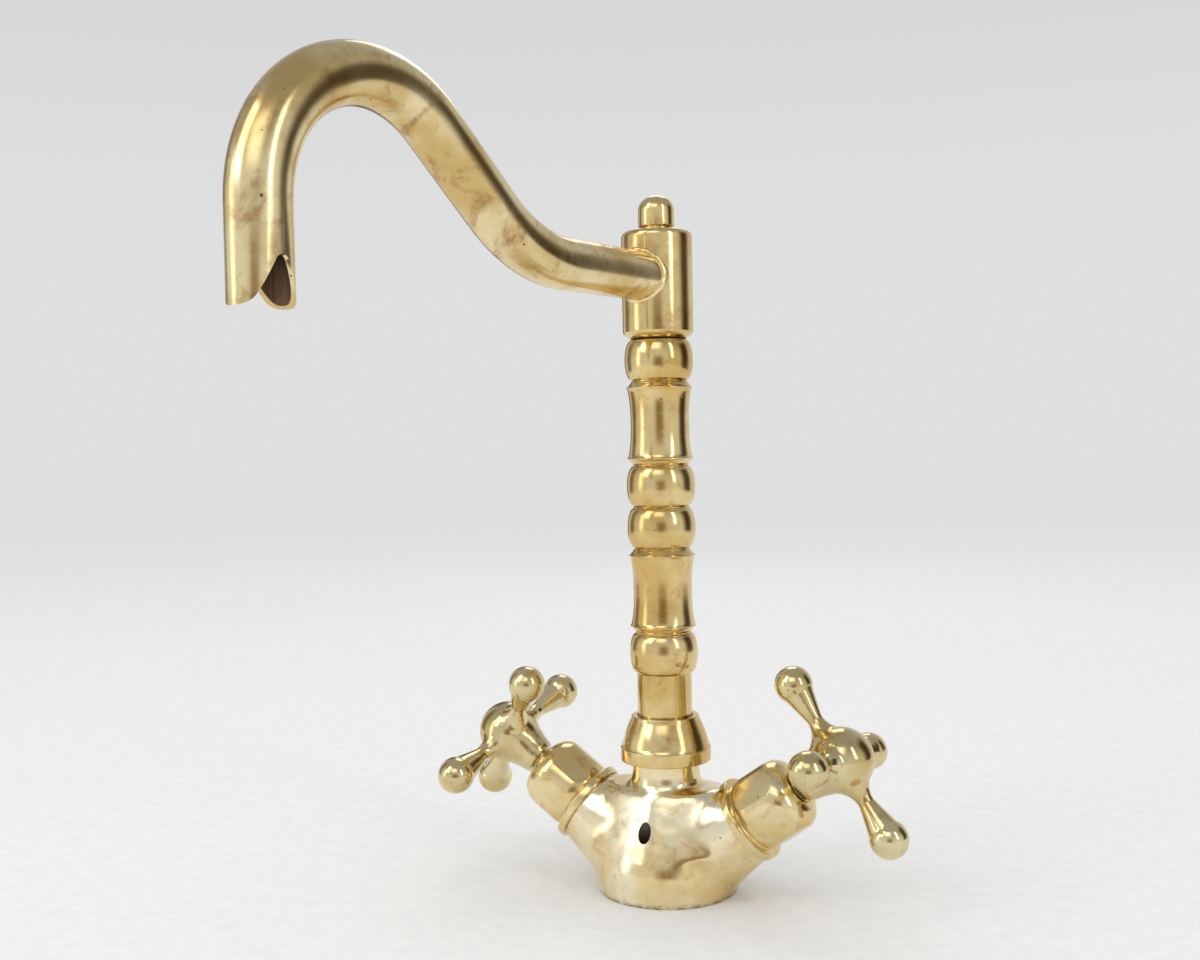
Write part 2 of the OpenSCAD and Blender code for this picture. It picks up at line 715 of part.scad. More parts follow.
module bonnet(side, turn) {
    flat_start = bonnet_flange_t + 0.2;
    color(brass) on_arm(side) difference() {
        translate([0, 0, arm_end_t]) intersection() {
            rotate_extrude() bonnet_outline();
            union() {
                cylinder(d = bonnet_flange_d + 2, h = flat_start);
                rotate([0, 0, turn + 30])
                    cylinder(d = bonnet_flats / cos(30), h = bonnet_h + 1, $fn = 6);
            }
        }
        translate([0, 0, arm_end_t - 1])
            cylinder(d = cartridge_flange_d + 2 * slide_gap, h = cartridge_flange_t + slide_gap + 1);
        translate([0, 0, arm_end_t]) cylinder(d = bonnet_cavity_d, h = bonnet_cavity_h);
        translate([0, 0, arm_end_t]) cylinder(d = nose_d + 2 * thread_gap, h = bonnet_h + 1);
    }
}

module hot_bonnet() {
    bonnet(-1, hot_bonnet_turn);
}

module cold_bonnet() {
    bonnet(1, cold_bonnet_turn);
}

// Valve cartridges

module cartridge_outline() {
    low_t = seat_t + seat_seal_h - 0.9;
    ring_w = valve_thread_d / 2 - thread_gap;
    polygon([
        [0, low_t], [cartridge_d / 2, low_t], [cartridge_d / 2, thread_t + 0.2], [ring_w, thread_t + 0.2],
        [ring_w, arm_end_t], [cartridge_flange_d / 2, arm_end_t], [cartridge_flange_d / 2, hex_t],
        [cartridge_barrel_d / 2, hex_t], [cartridge_barrel_d / 2, cavity_t - 0.2],
        [nose_d / 2, cavity_t - 0.2], [nose_d / 2, cartridge_top_t], [0, cartridge_top_t]
    ]);
}

module cartridge(side) {
    window_t = drive_t - 0.2;
    color(bright_brass) on_arm(side) difference() {
        union() {
            rotate_extrude() cartridge_outline();
            translate([0, 0, hex_t]) cylinder(d = cartridge_hex / cos(30), h = cartridge_hex_h, $fn = 6);
        }
        translate([0, 0, seat_t]) cylinder(d = disc_pocket_d, h = pocket_top_t - seat_t);
        translate([0, 0, seat_t]) cylinder(d = spindle_bore_d, h = cartridge_top_t);
        translate([-cartridge_d, -window_w / 2, window_t]) cube([2 * cartridge_d, window_w, window_h]);
    }
}

module hot_cartridge() {
    cartridge(-1);
}

module cold_cartridge() {
    cartridge(1);
}

module cartridge_ring(side) {
    wire = ring_pocket_w - slide_gap;
    color(rubber) on_arm(side)
        round_ring(valve_thread_d + ring_pocket_w, wire, arm_end_t - (wire + slide_gap) / 2);
}

module hot_cartridge_ring() {
    cartridge_ring(-1);
}

module cold_cartridge_ring() {
    cartridge_ring(1);
}

module seat_seal(side) {
    color(rubber) on_arm(side) flat_ring(disc_pocket_d - 0.2, port_d + 2, seat_t, seat_seal_h);
}

module hot_seat_seal() {
    seat_seal(-1);
}

module cold_seat_seal() {
    seat_seal(1);
}

// A ceramic disc with two openings on opposite sides, each less than a quarter turn wide
module valve_disc(side, t, d, turn) {
    color(ceramic) on_arm(side) rotate([0, 0, turn]) difference() {
        translate([0, 0, t]) cylinder(d = d, h = disc_h);
        for (start = [0, 180]) translate([0, 0, t - 1])
            rotate_extrude(angle = disc_slot_angle, start = start + (90 - disc_slot_angle) / 2)
                translate([disc_slot_in_r, 0])
                    square([disc_slot_out_r - disc_slot_in_r, disc_h + 2]);
    }
}

module hot_fixed_disc() {
    valve_disc(-1, fixed_disc_t, disc_pocket_d - 0.2, 0);
}

module cold_fixed_disc() {
    valve_disc(1, fixed_disc_t, disc_pocket_d - 0.2, 0);
}

// Moving parts of the valves

module hot_moving_disc() {
    valve_disc(-1, moving_disc_t, drive_d, 90);
}

module cold_moving_disc() {
    valve_disc(1, moving_disc_t, drive_d, 90);
}

module spindle(side) {
    ring_groove_in_d = spindle_d - 2 * spindle_ring_wire_d;
    ring_groove_h = spindle_ring_wire_d + 2 * slide_gap;
    color(bright_brass) on_arm(side) difference() {
        union() {
            translate([0, 0, drive_t]) cylinder(d = drive_d, h = drive_h);
            translate([0, 0, drive_t]) cylinder(d = spindle_d, h = spindle_top_t - drive_t);
        }
        for (s = [-1, 1]) translate([s * drive_x - drive_slot_w / 2, -drive_d, drive_t - 1])
            cube([drive_slot_w, 2 * drive_d, drive_h - drive_floor_h + 1]);
        flat_ring(spindle_d + 2, clip_groove_d, clip_t, circlip_h);
        flat_ring(spindle_d + 2, ring_groove_in_d, spindle_ring_t - ring_groove_h / 2, ring_groove_h);
    }
}

module hot_spindle() {
    spindle(-1);
}

module cold_spindle() {
    spindle(1);
}

module glide_washer(side) {
    color(nylon) on_arm(side) flat_ring(drive_d, spindle_d + 2 * thread_gap, glide_t, glide_h);
}

module hot_glide_washer() {
    glide_washer(-1);
}

module cold_glide_washer() {
    glide_washer(1);
}

module spindle_ring(side) {
    color(rubber) on_arm(side)
        round_ring(spindle_d - spindle_ring_wire_d, spindle_ring_wire_d, spindle_ring_t);
}

module hot_spindle_ring() {
    spindle_ring(-1);
}

module cold_spindle_ring() {
    spindle_ring(1);
}

module circlip(side) {
    side_gap = slide_gap / 5;
    color(steel) on_arm(side) difference() {
        flat_ring(circlip_d, clip_groove_d + slide_gap, clip_t + side_gap, circlip_h - 2 * side_gap);
        translate([0, -circlip_slot / 2, clip_t - 1]) cube([circlip_d, circlip_slot, circlip_h + 2]);
    }
}

module hot_circlip() {
    circlip(-1);
}

module cold_circlip() {
    circlip(1);
}

// Cross handles, drawn round their own axis with the spokes in the plane at zero height

socket_d = spindle_d + 2 * thread_gap;
grub_turn = 45;

// Outline of the hub: a conical skirt below a large round
module cross_hub_outline() {
    r = cross_hub_d / 2;
    foot = skirt_foot_d / 2;
    difference() {
        union() {
            translate([0, cross_hub_shift]) circle(r = r);
            polygon([
                [0, -skirt_h], [foot, -skirt_h], [foot + 0.4, -skirt_h + 1],
                [skirt_waist_d / 2, -skirt_waist_h], [r * 0.84, -skirt_waist_h * 0.45], [0, 0]
            ]);
        }
        translate([-2 * r, -2 * skirt_h]) square([2 * r, 4 * skirt_h]);
    }
}

// Outline of one spoke, drawn along +Y: a root fillet, a waist, a flaring cone and a ball
module spoke_outline() {
    ball_r = ball_d / 2;
    waist_r = spoke_d / 2;
    joint_r = 0.82 * ball_r;
    joint_t = ball_reach - ball_r / 2;
    root_r = spoke_fillet_r;
    root_h = root_r * cos(atan2(waist_r + root_r, spoke_waist));
    difference() {
        union() {
            translate([0, ball_reach]) circle(r = ball_r);
            polygon([
                [0, spoke_waist], [waist_r, spoke_waist], [joint_r, joint_t], [0, joint_t]
            ]);
            difference() {
                translate([0, spoke_waist - root_h]) square([waist_r + root_r, root_h]);
                translate([waist_r + root_r, spoke_waist]) circle(r = root_r);
            }
        }
        translate([-2 * ball_d, -ball_d]) square([2 * ball_d, ball_reach + 3 * ball_d]);
    }
}

module cross_handle(side, turn) {
    color(brass) on_arm(side) translate([0, 0, cross_t]) rotate([0, 0, turn]) difference() {
        union() {
            rotate_extrude() cross_hub_outline();
            for (a = [0:90:270]) rotate([0, 0, a]) rotate([-90, 0, 0]) rotate_extrude() spoke_outline();
        }
        translate([0, 0, -skirt_h - 1]) cylinder(d = socket_d, h = socket_depth + 1);
        rotate([0, 0, grub_turn]) translate([0, 0, -grub_drop]) rotate([0, 90, 0])
            cylinder(d = grub_d + 2 * thread_gap, h = cross_hub_d);
    }
}

module hot_cross_handle() {
    cross_handle(-1, hot_cross_turn);
}

module cold_cross_handle() {
    cross_handle(1, cold_cross_turn);
}

// A headless screw with a hexagon socket, between the skirt and the spindle
module grub_screw(side, turn) {
    color(steel) on_arm(side) translate([0, 0, cross_t]) rotate([0, 0, turn + grub_turn])
        translate([spindle_d / 2 + thread_gap, 0, -grub_drop]) rotate([0, 90, 0]) difference() {
            cylinder(d = grub_d, h = grub_h);
            translate([0, 0, grub_h / 2]) cylinder(d = grub_d / 2, h = grub_h, $fn = 6);
        }
}

module hot_grub_screw() {
    grub_screw(-1, hot_cross_turn);
}

module cold_grub_screw() {
    grub_screw(1, cold_cross_turn);
}

mixer_body();
base_gasket();
collar_nut();
slip_ring();
column();
upper_spigot_ring();
lower_spigot_ring();
spout_hub();
swan_neck_spout();
braze_bead();
finial();
hot_bonnet();
hot_cartridge();
hot_cartridge_ring();
hot_seat_seal();
hot_fixed_disc();
hot_cross_handle();
hot_spindle();
hot_moving_disc();
hot_glide_washer();
hot_spindle_ring();
hot_circlip();
hot_grub_screw();
cold_bonnet();
cold_cartridge();
cold_cartridge_ring();
cold_seat_seal();
cold_fixed_disc();
cold_cross_handle();
cold_spindle();
cold_moving_disc();
cold_glide_washer();
cold_spindle_ring();
cold_circlip();
cold_grub_screw();
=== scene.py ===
import json
import logging
import math
from contextlib import contextmanager
from dataclasses import dataclass, field
from enum import Enum
from typing import Callable, Iterator, Sequence

import bpy
from mathutils import Matrix, Vector


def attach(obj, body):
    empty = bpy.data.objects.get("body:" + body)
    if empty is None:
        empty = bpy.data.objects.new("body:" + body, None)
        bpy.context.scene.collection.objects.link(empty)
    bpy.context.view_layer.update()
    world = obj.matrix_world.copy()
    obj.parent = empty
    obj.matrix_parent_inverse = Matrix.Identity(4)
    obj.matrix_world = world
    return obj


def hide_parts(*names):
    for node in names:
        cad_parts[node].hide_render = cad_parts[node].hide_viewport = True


# Looks of a two-handle basin faucet in polished, unlacquered brass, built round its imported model.
# The classes hold their sizes in millimetres and their angles in degrees. Meshes are in metres.

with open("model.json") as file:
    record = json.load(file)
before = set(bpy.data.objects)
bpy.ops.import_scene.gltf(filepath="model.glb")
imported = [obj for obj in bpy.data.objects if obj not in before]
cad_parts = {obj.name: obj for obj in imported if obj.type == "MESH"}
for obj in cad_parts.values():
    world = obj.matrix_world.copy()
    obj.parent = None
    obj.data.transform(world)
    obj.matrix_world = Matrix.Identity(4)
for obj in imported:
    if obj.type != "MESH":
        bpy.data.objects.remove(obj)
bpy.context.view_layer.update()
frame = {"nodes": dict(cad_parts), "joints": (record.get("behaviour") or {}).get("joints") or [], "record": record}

LOG = logging.getLogger("basin_faucet")
MM = 0.001
WELD = 0.001 * MM
MICRON = 0.001 * MM
OVERSHOOT = 1.0
CAST_STEPS = 96
ROUND_STEPS = 112
FINE_STEPS = 144
BORE_STEPS = 64
UP = Vector((0, 0, 1))

Piece = bpy.types.Object
Node = bpy.types.Node
Socket = bpy.types.NodeSocket
Outline = list[tuple[float, float]]
Triple = tuple[float, float, float]
Colour = tuple[float, float, float, float]
Marks = dict[str, Socket]


class Side(Enum):
    """The two valves of the faucet."""

    HOT = "hot"
    COLD = "cold"

    @property
    def sign(self) -> int:
        """Give the direction along X in which the side lies."""
        return -1 if self is Side.HOT else 1


class Joining(Enum):
    """The ways in which two solids are joined or cut."""

    FUSE = "UNION"
    CUT = "DIFFERENCE"
    KEEP_COMMON = "INTERSECT"


def sin(degrees: float) -> float:
    """Give the sine of an angle in degrees."""
    return math.sin(math.radians(degrees))


def cos(degrees: float) -> float:
    """Give the cosine of an angle in degrees."""
    return math.cos(math.radians(degrees))


def moved(x: float, y: float, z: float) -> Matrix:
    """Give the matrix of a shift in millimetres."""
    return Matrix.Translation((x * MM, y * MM, z * MM))


def turned(axis: str, degrees: float) -> Matrix:
    """Give the matrix of a turn about the axis X, Y or Z."""
    return Matrix.Rotation(math.radians(degrees), 4, axis)


def arc(across: float, up: float, radius: float, start: float, end: float,
        steps: int = 8) -> Outline:
    """Give the points of an arc in an outline.

    Args:
        across: the centre's distance from the turning axis.
        up: the centre's height.
        radius: the arc's radius.
        start: the first angle, from the outward direction.
        end: the last angle.
        steps: how many chords the arc has.

    Returns:
        The arc's points, both ends included.
    """
    angles = [start + (end - start) * i / steps for i in range(steps + 1)]
    return [(across + radius * cos(a), up + radius * sin(a)) for a in angles]


def mirrored(outline: Outline, height: float) -> Outline:
    """Give an outline turned over at a height, from its last point to its first."""
    return [(r, 2 * height - z) for r, z in reversed(outline)]


def stepped(steps: Outline, end: float) -> Outline:
    """Give the half outline of a stepped rod.

    Args:
        steps: each step's radius and the height at which it starts.
        end: the height at which the last step ends.

    Returns:
        The points, from the axis below to the axis above.
    """
    points = [(0, steps[0][1])]
    for (radius, start), stop in zip(steps, [*(step[1] for step in steps[1:]), end]):
        points += [(radius, start), (radius, stop)]
    return [*points, (0, end)]


def tint(red: int, green: int, blue: int) -> Colour:
    """Turn a colour as a screen shows it, 0 to 255, into the linear colour of a shader."""
    shares = [value / 255 for value in (red, green, blue)]
    linear = [s / 12.92 if s <= 0.04045 else ((s + 0.055) / 1.055) ** 2.4 for s in shares]
    return (linear[0], linear[1], linear[2], 1.0)


def joint(name: str) -> dict:
    """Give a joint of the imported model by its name."""
    return next(row for row in frame["joints"] if row["name"] == name)


def mount(name: str) -> dict:
    """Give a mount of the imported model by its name."""
    return next(row for row in frame["record"]["mounts"] if row["name"] == name)


def valve_lean(side: Side) -> float:
    """Give the angle by which a valve's axis leans over from the upright, in radians."""
    axis = joint(f"{side.value}_valve")["axis"]
    return math.atan2(axis[0], axis[2])


def on_valve(side: Side, along: float = 0.0, turn: float = 0.0) -> Matrix:
    """Give the place of what is modelled along +Z on a valve's axis.

    Args:
        side: the valve.
        along: the distance along the axis.
        turn: the angle about the axis.

    Returns:
        The matrix that puts it there.
    """
    foot = Matrix.Translation(Vector(joint(f"{side.value}_valve")["pos_m"]))
    return foot @ Matrix.Rotation(valve_lean(side), 4, "Y") @ moved(0, 0, along) @ turned("Z", turn)


def on_mount(row: dict) -> Matrix:
    """Give the place of what is modelled along +Z on a mount's axis."""
    lean = Vector(row["axis"]).to_track_quat("Z", "Y").to_matrix().to_4x4()
    return Matrix.Translation(Vector(row["pos_m"])) @ lean


class Bench:
    """The modelling operations that the pieces share."""

    @staticmethod
    def pick(piece: Piece) -> None:
        """Select one object alone and make it the active one."""
        bpy.ops.object.select_all(action="DESELECT")
        piece.select_set(True)
        bpy.context.view_layer.objects.active = piece

    @staticmethod
    @contextmanager
    def editing(piece: Piece) -> Iterator[None]:
        """Keep one object in edit mode, with all of it selected at the start.

        Args:
            piece: the object.

        Yields:
            Nothing, while it is in edit mode.
        """
        Bench.pick(piece)
        bpy.ops.object.mode_set(mode="EDIT")
        bpy.ops.mesh.select_all(action="SELECT")
        yield
        bpy.ops.object.mode_set(mode="OBJECT")

    @staticmethod
    def latest(name: str) -> Piece:
        """Name the object that was just added.

        Args:
            name: its name and its mesh's.

        Returns:
            The object.
        """
        piece = bpy.context.object
        piece.name = name
        piece.data.name = name
        return piece

    @staticmethod
    def add(primitive: Callable, name: str, **settings: object) -> Piece:
        """Add a primitive to an empty selection.

        Args:
            primitive: Blender's operator that adds it.
            name: the new object's name.
            settings: the operator's settings.

        Returns:
            The new object.
        """
        bpy.ops.object.select_all(action="DESELECT")
        primitive(**settings)
        return Bench.latest(name)

    @staticmethod
    def lathe(name: str, outline: Outline, closed: bool = False, steps: int = ROUND_STEPS) -> Piece:
        """Turn an outline about the upright axis, from one point that is extruded along it.

        Args:
            name: the new object's name.
            outline: the points (distance from the axis, height).
            closed: whether the last point is joined to the first, as for a ring.
            steps: the number of facets round the axis.

        Returns:
            The closed solid.
        """
        points = outline + outline[:1] if closed else outline
        piece = Bench.add(bpy.ops.mesh.primitive_plane_add, name, size=MM)
        with Bench.editing(piece):
            bpy.ops.mesh.merge(type="CENTER")
            bpy.ops.transform.translate(value=(points[0][0] * MM, 0, points[0][1] * MM))
            for (r1, z1), (r2, z2) in zip(points, points[1:]):
                Bench.extrude(((r2 - r1) * MM, 0, (z2 - z1) * MM))
            bpy.ops.mesh.select_all(action="SELECT")
            bpy.ops.mesh.spin(steps=steps, angle=2 * math.pi, center=(0, 0, 0), axis=(0, 0, 1),
                              use_auto_merge=True)
            Bench.close_up()
        return piece

    @staticmethod
    def extrude(step: Sequence[float]) -> None:
        """Extrude what is selected in edit mode by a step in metres."""
        bpy.ops.mesh.extrude_region_move(TRANSFORM_OT_translate={"value": step})

    @staticmethod
    def close_up() -> None:
        """Merge doubled points of the mesh that is being edited and turn its faces outwards."""
        bpy.ops.mesh.select_all(action="SELECT")
        bpy.ops.mesh.remove_doubles(threshold=WELD)
        bpy.ops.mesh.normals_make_consistent(inside=False)

    @staticmethod
    def cone(name: str, foot_r: float, top_r: float, height: float, foot: float = 0.0) -> Piece:
        """Add an upright cone with a cut top, as a part of a casting.

        Args:
            name: the new object's name.
            foot_r: its radius below.
            top_r: its radius above.
            height: its height.
            foot: the height at which it starts.

        Returns:
            The cone.
        """
        return Bench.add(
            bpy.ops.mesh.primitive_cone_add, name, vertices=CAST_STEPS, radius1=foot_r * MM,
            radius2=top_r * MM, depth=height * MM, location=(0, 0, (foot + height / 2) * MM))

    @staticmethod
    def rod(name: str, radius: float, low: float, high: float, sides: int = BORE_STEPS) -> Piece:
        """Add an upright rod between two heights, as a tool for cutting.

        Args:
            name: the new object's name.
            radius: the rod's radius.
            low: the lower end's height.
            high: the upper end's height.
            sides: the number of its sides.

        Returns:
            The rod.
        """
        rod = Bench.add(
            bpy.ops.mesh.primitive_cylinder_add, name, vertices=sides, radius=radius * MM,
            depth=(high - low) * MM, location=(0, 0, (low + high) / 2 * MM))
        Bench.settle(rod)
        return rod

    @staticmethod
    def settle(piece: Piece, place: Matrix | None = None) -> None:
        """Put an object where a matrix says and apply that to its mesh.

        Args:
            piece: the object.
            place: the matrix, or nothing where the object already has its place.
        """
        if place is not None:
            piece.matrix_world = place @ piece.matrix_world
        Bench.pick(piece)
        bpy.ops.object.transform_apply(location=True, rotation=True, scale=True)

    @staticmethod
    def modify(piece: Piece, kind: str, **settings: object) -> None:
        """Add a modifier and apply it.

        Args:
            piece: the object.
            kind: the modifier's type.
            settings: its settings.
        """
        Bench.pick(piece)
        bpy.ops.object.modifier_add(type=kind)
        modifier = piece.modifiers[-1]
        for key, value in settings.items():
            setattr(modifier, key, value)
        bpy.ops.object.modifier_apply(modifier=modifier.name)

    @staticmethod
    def combine(piece: Piece, tool: Piece, joining: Joining) -> None:
        """Join a tool with a piece, or cut the piece with it, and put the tool away.

        Args:
            piece: the object that stays.
            tool: the object that is put away.
            joining: whether it is joined or cut.
        """
        before = len(piece.data.polygons)
        Bench.modify(piece, "BOOLEAN", operation=joining.value, solver="EXACT", object=tool)
        if len(piece.data.polygons) == before:
            LOG.warning("%s is unchanged by %s", piece.name, tool.name)
        bpy.data.objects.remove(tool)

    @staticmethod
    def join(pieces: Sequence[Piece]) -> Piece:
        """Make one object of several, which may run into each other.

        Args:
            pieces: the objects.

        Returns:
            The first of them, which holds them all.
        """
        Bench.pick(pieces[0])
        for piece in pieces:
            piece.select_set(True)
        bpy.ops.object.join()
        return pieces[0]

    @staticmethod
    def blend_solid(piece: Piece, voxel: float, rounds: int) -> None:
        """Melt what overlaps into one skin and smooth its creases, as in a casting."""
        Bench.modify(piece, "REMESH", mode="VOXEL", voxel_size=voxel * MM)
        Bench.modify(piece, "SMOOTH", factor=0.5, iterations=rounds)

    @staticmethod
    def slice_off(piece: Piece, place: Matrix, height: float, below: bool = False) -> None:
        """Cut off what lies beyond a plane and close the cut face.

        Args:
            piece: the object that is cut.
            place: the place whose Z the plane is square to.
            height: the plane's height there.
            below: whether what lies below the plane goes, instead of what lies above it.
        """
        outward = place.to_3x3() @ (-UP if below else UP)
        with Bench.editing(piece):
            bpy.ops.mesh.bisect(plane_co=place @ Vector((0, 0, height * MM)), plane_no=outward,
                                use_fill=True, clear_outer=True)

    @staticmethod
    def ripple(piece: Piece, size: float, height: float) -> None:
        """Give a hand-polished surface its slight unevenness.

        Args:
            piece: the object.
            size: the width of the swells.
            height: how far they rise and fall together.
        """
        swell = bpy.data.textures.new(f"{piece.name}_swell", "CLOUDS")
        swell.noise_scale = size * MM
        Bench.modify(piece, "DISPLACE", texture=swell, texture_coords="LOCAL",
                     strength=height * MM, mid_level=0.5)

    @staticmethod
    def round_edges(piece: Piece, width: float, angle: float, segments: int = 2) -> None:
        """Round every edge that is sharper than an angle, over a width."""
        Bench.modify(piece, "BEVEL", width=width * MM, segments=segments, limit_method="ANGLE",
                     angle_limit=math.radians(angle), use_clamp_overlap=True)

    @staticmethod
    def finish(piece: Piece, body: str, node: str, finish: "Finish", sharp: float = 32.0) -> None:
        """Shade a piece, give it its finish and let it ride in the place of its node.

        Args:
            piece: the modelled object.
            body: the moving body that carries it.
            node: the solid that it stands for.
            finish: the finish of its surface.
            sharp: the angle from which an edge stays sharp.
        """
        Bench.settle(piece)
        bpy.ops.object.shade_smooth_by_angle(angle=math.radians(sharp))
        piece.data.materials.clear()
        piece.data.materials.append(finish.material())
        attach(piece, body)
        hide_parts(node)
        triangles = sum(len(face.vertices) - 2 for face in piece.data.polygons)
        LOG.info("%s: %d triangles, stands for %s", piece.name, triangles, node)


class Graph:
    """Adds nodes to a material, a world or a group and joins them."""

    def __init__(self, tree: bpy.types.NodeTree) -> None:
        """Start on a node tree."""
        self.tree = tree

    @classmethod
    def on(cls, owner: bpy.types.Material | bpy.types.World) -> "Graph":
        """Start on the emptied node tree of a material or a world."""
        owner.use_nodes = True
        owner.node_tree.nodes.clear()
        return cls(owner.node_tree)

    def add(self, kind: str, feeds: dict | None = None, **settings: object) -> Node:
        """Add a shader node.

        Args:
            kind: the node's type, without what all types start with.
            feeds: values or sockets for its inputs, by their names.
            settings: the node's own properties.

        Returns:
            The node.
        """
        node = self.tree.nodes.new(f"ShaderNode{kind}")
        for key, value in settings.items():
            setattr(node, key, value)
        self.feed(node.inputs, feeds or {})
        return node

    def feed(self, inputs: Sequence[Socket], feeds: dict) -> None:
        """Join sockets to inputs, or set the inputs' own values.

        Args:
            inputs: a node's inputs.
            feeds: the values or sockets, by the inputs' names.
        """
        for key, value in feeds.items():
            if isinstance(value, Socket):
                self.tree.links.new(value, inputs[key])
            else:
                inputs[key].default_value = value

    def end(self, kind: str, shader: Socket) -> None:
        """Send a shader to the output node of a material or a world."""
        self.add(f"Output{kind}", {"Surface": shader})

    def sum(self, operation: str, first: object, second: object) -> Socket:
        """Work out one number from two."""
        return self.add("Math", {0: first, 1: second}, operation=operation).outputs[0]

    def times(self, first: object, second: object) -> Socket:
        """Multiply two numbers."""
        return self.sum("MULTIPLY", first, second)

    def total(self, start: object, weighed: Sequence[tuple[object, float]]) -> Socket:
        """Add values to a start, each times its weight."""
        for value, weight in weighed:
            start = self.sum("ADD", start, self.times(value, weight))
        return start

    def fade(self, value: object, low: float, high: float, floor: float = 0.0,
             top: float = 1.0) -> Socket:
        """Turn a value into a soft step from floor to top between two limits."""
        limits = {"Value": value, "From Min": low, "From Max": high, "To Min": floor, "To Max": top}
        return self.add("MapRange", limits, interpolation_type="SMOOTHSTEP").outputs["Result"]

    def mix(self, share: object, first: object, second: object) -> Socket:
        """Mix two colours."""
        return self.add("Mix", {0: share, 6: first, 7: second}, data_type="RGBA").outputs[2]

    def mix_shaders(self, share: object, first: Node, second: Node) -> Socket:
        """Mix the shaders of two nodes."""
        feeds = {0: share, 1: first.outputs[0], 2: second.outputs[0]}
        return self.add("MixShader", feeds).outputs[0]

    def place(self) -> Socket:
        """Give the place on the object."""
        return self.add("TexCoord").outputs["Object"]

    def mapping(self, place: Socket, kind: str = "POINT", **values: Triple) -> Socket:
        """Shift, turn or stretch a place."""
        return self.add("Mapping", {"Vector": place, **values}, vector_type=kind).outputs["Vector"]

    def noise(self, place: object, scale: object, detail: float = 3.0, rough: float = 0.55,
              swirl: float = 0.0) -> Socket:
        """Add a noise at a place."""
        feeds = {"Vector": place, "Scale": scale, "Detail": detail, "Roughness": rough,
                 "Distortion": swirl}
        return self.add("TexNoise", feeds).outputs["Fac"]

    def bump(self, height: Socket) -> Socket:
        """Turn a height in micrometres into the slope that a shader takes."""
        feeds = {"Height": height, "Distance": MICRON, "Strength": 1.0}
        return self.add("Bump", feeds).outputs["Normal"]


class Effect(Enum):
    """The effects that several finishes share, each a node group that is built once."""

    TONE = "metal_tone"
    TARNISH = "tarnish_patches"
    PITS = "casting_pits"
    HAIRLINES = "polishing_hairlines"
    RINGS = "turned_rings"
    # Painted shade: darkens crevices and grooves from ambient occlusion.
    GRIME = "crevice_grime"
    FILM = "handling_film"


SOCKETS = {
    Effect.TONE: ("Scale:Float Pale:Color Mid:Color Deep:Color", "Tone:Color"),
    Effect.TARNISH: ("Scale:Float Cover:Float", "Mask:Float"),
    Effect.PITS: ("Scale:Float Share:Float", "Mask:Float"),
    Effect.HAIRLINES: ("Fineness:Float", "Lines:Float Marks:Float"),
    Effect.RINGS: ("Fineness:Float", "Height:Float"),
    Effect.GRIME: ("Reach:Float", "Mask:Float"),
    Effect.FILM: ("Scale:Float", "Film:Float Swell:Float"),
}


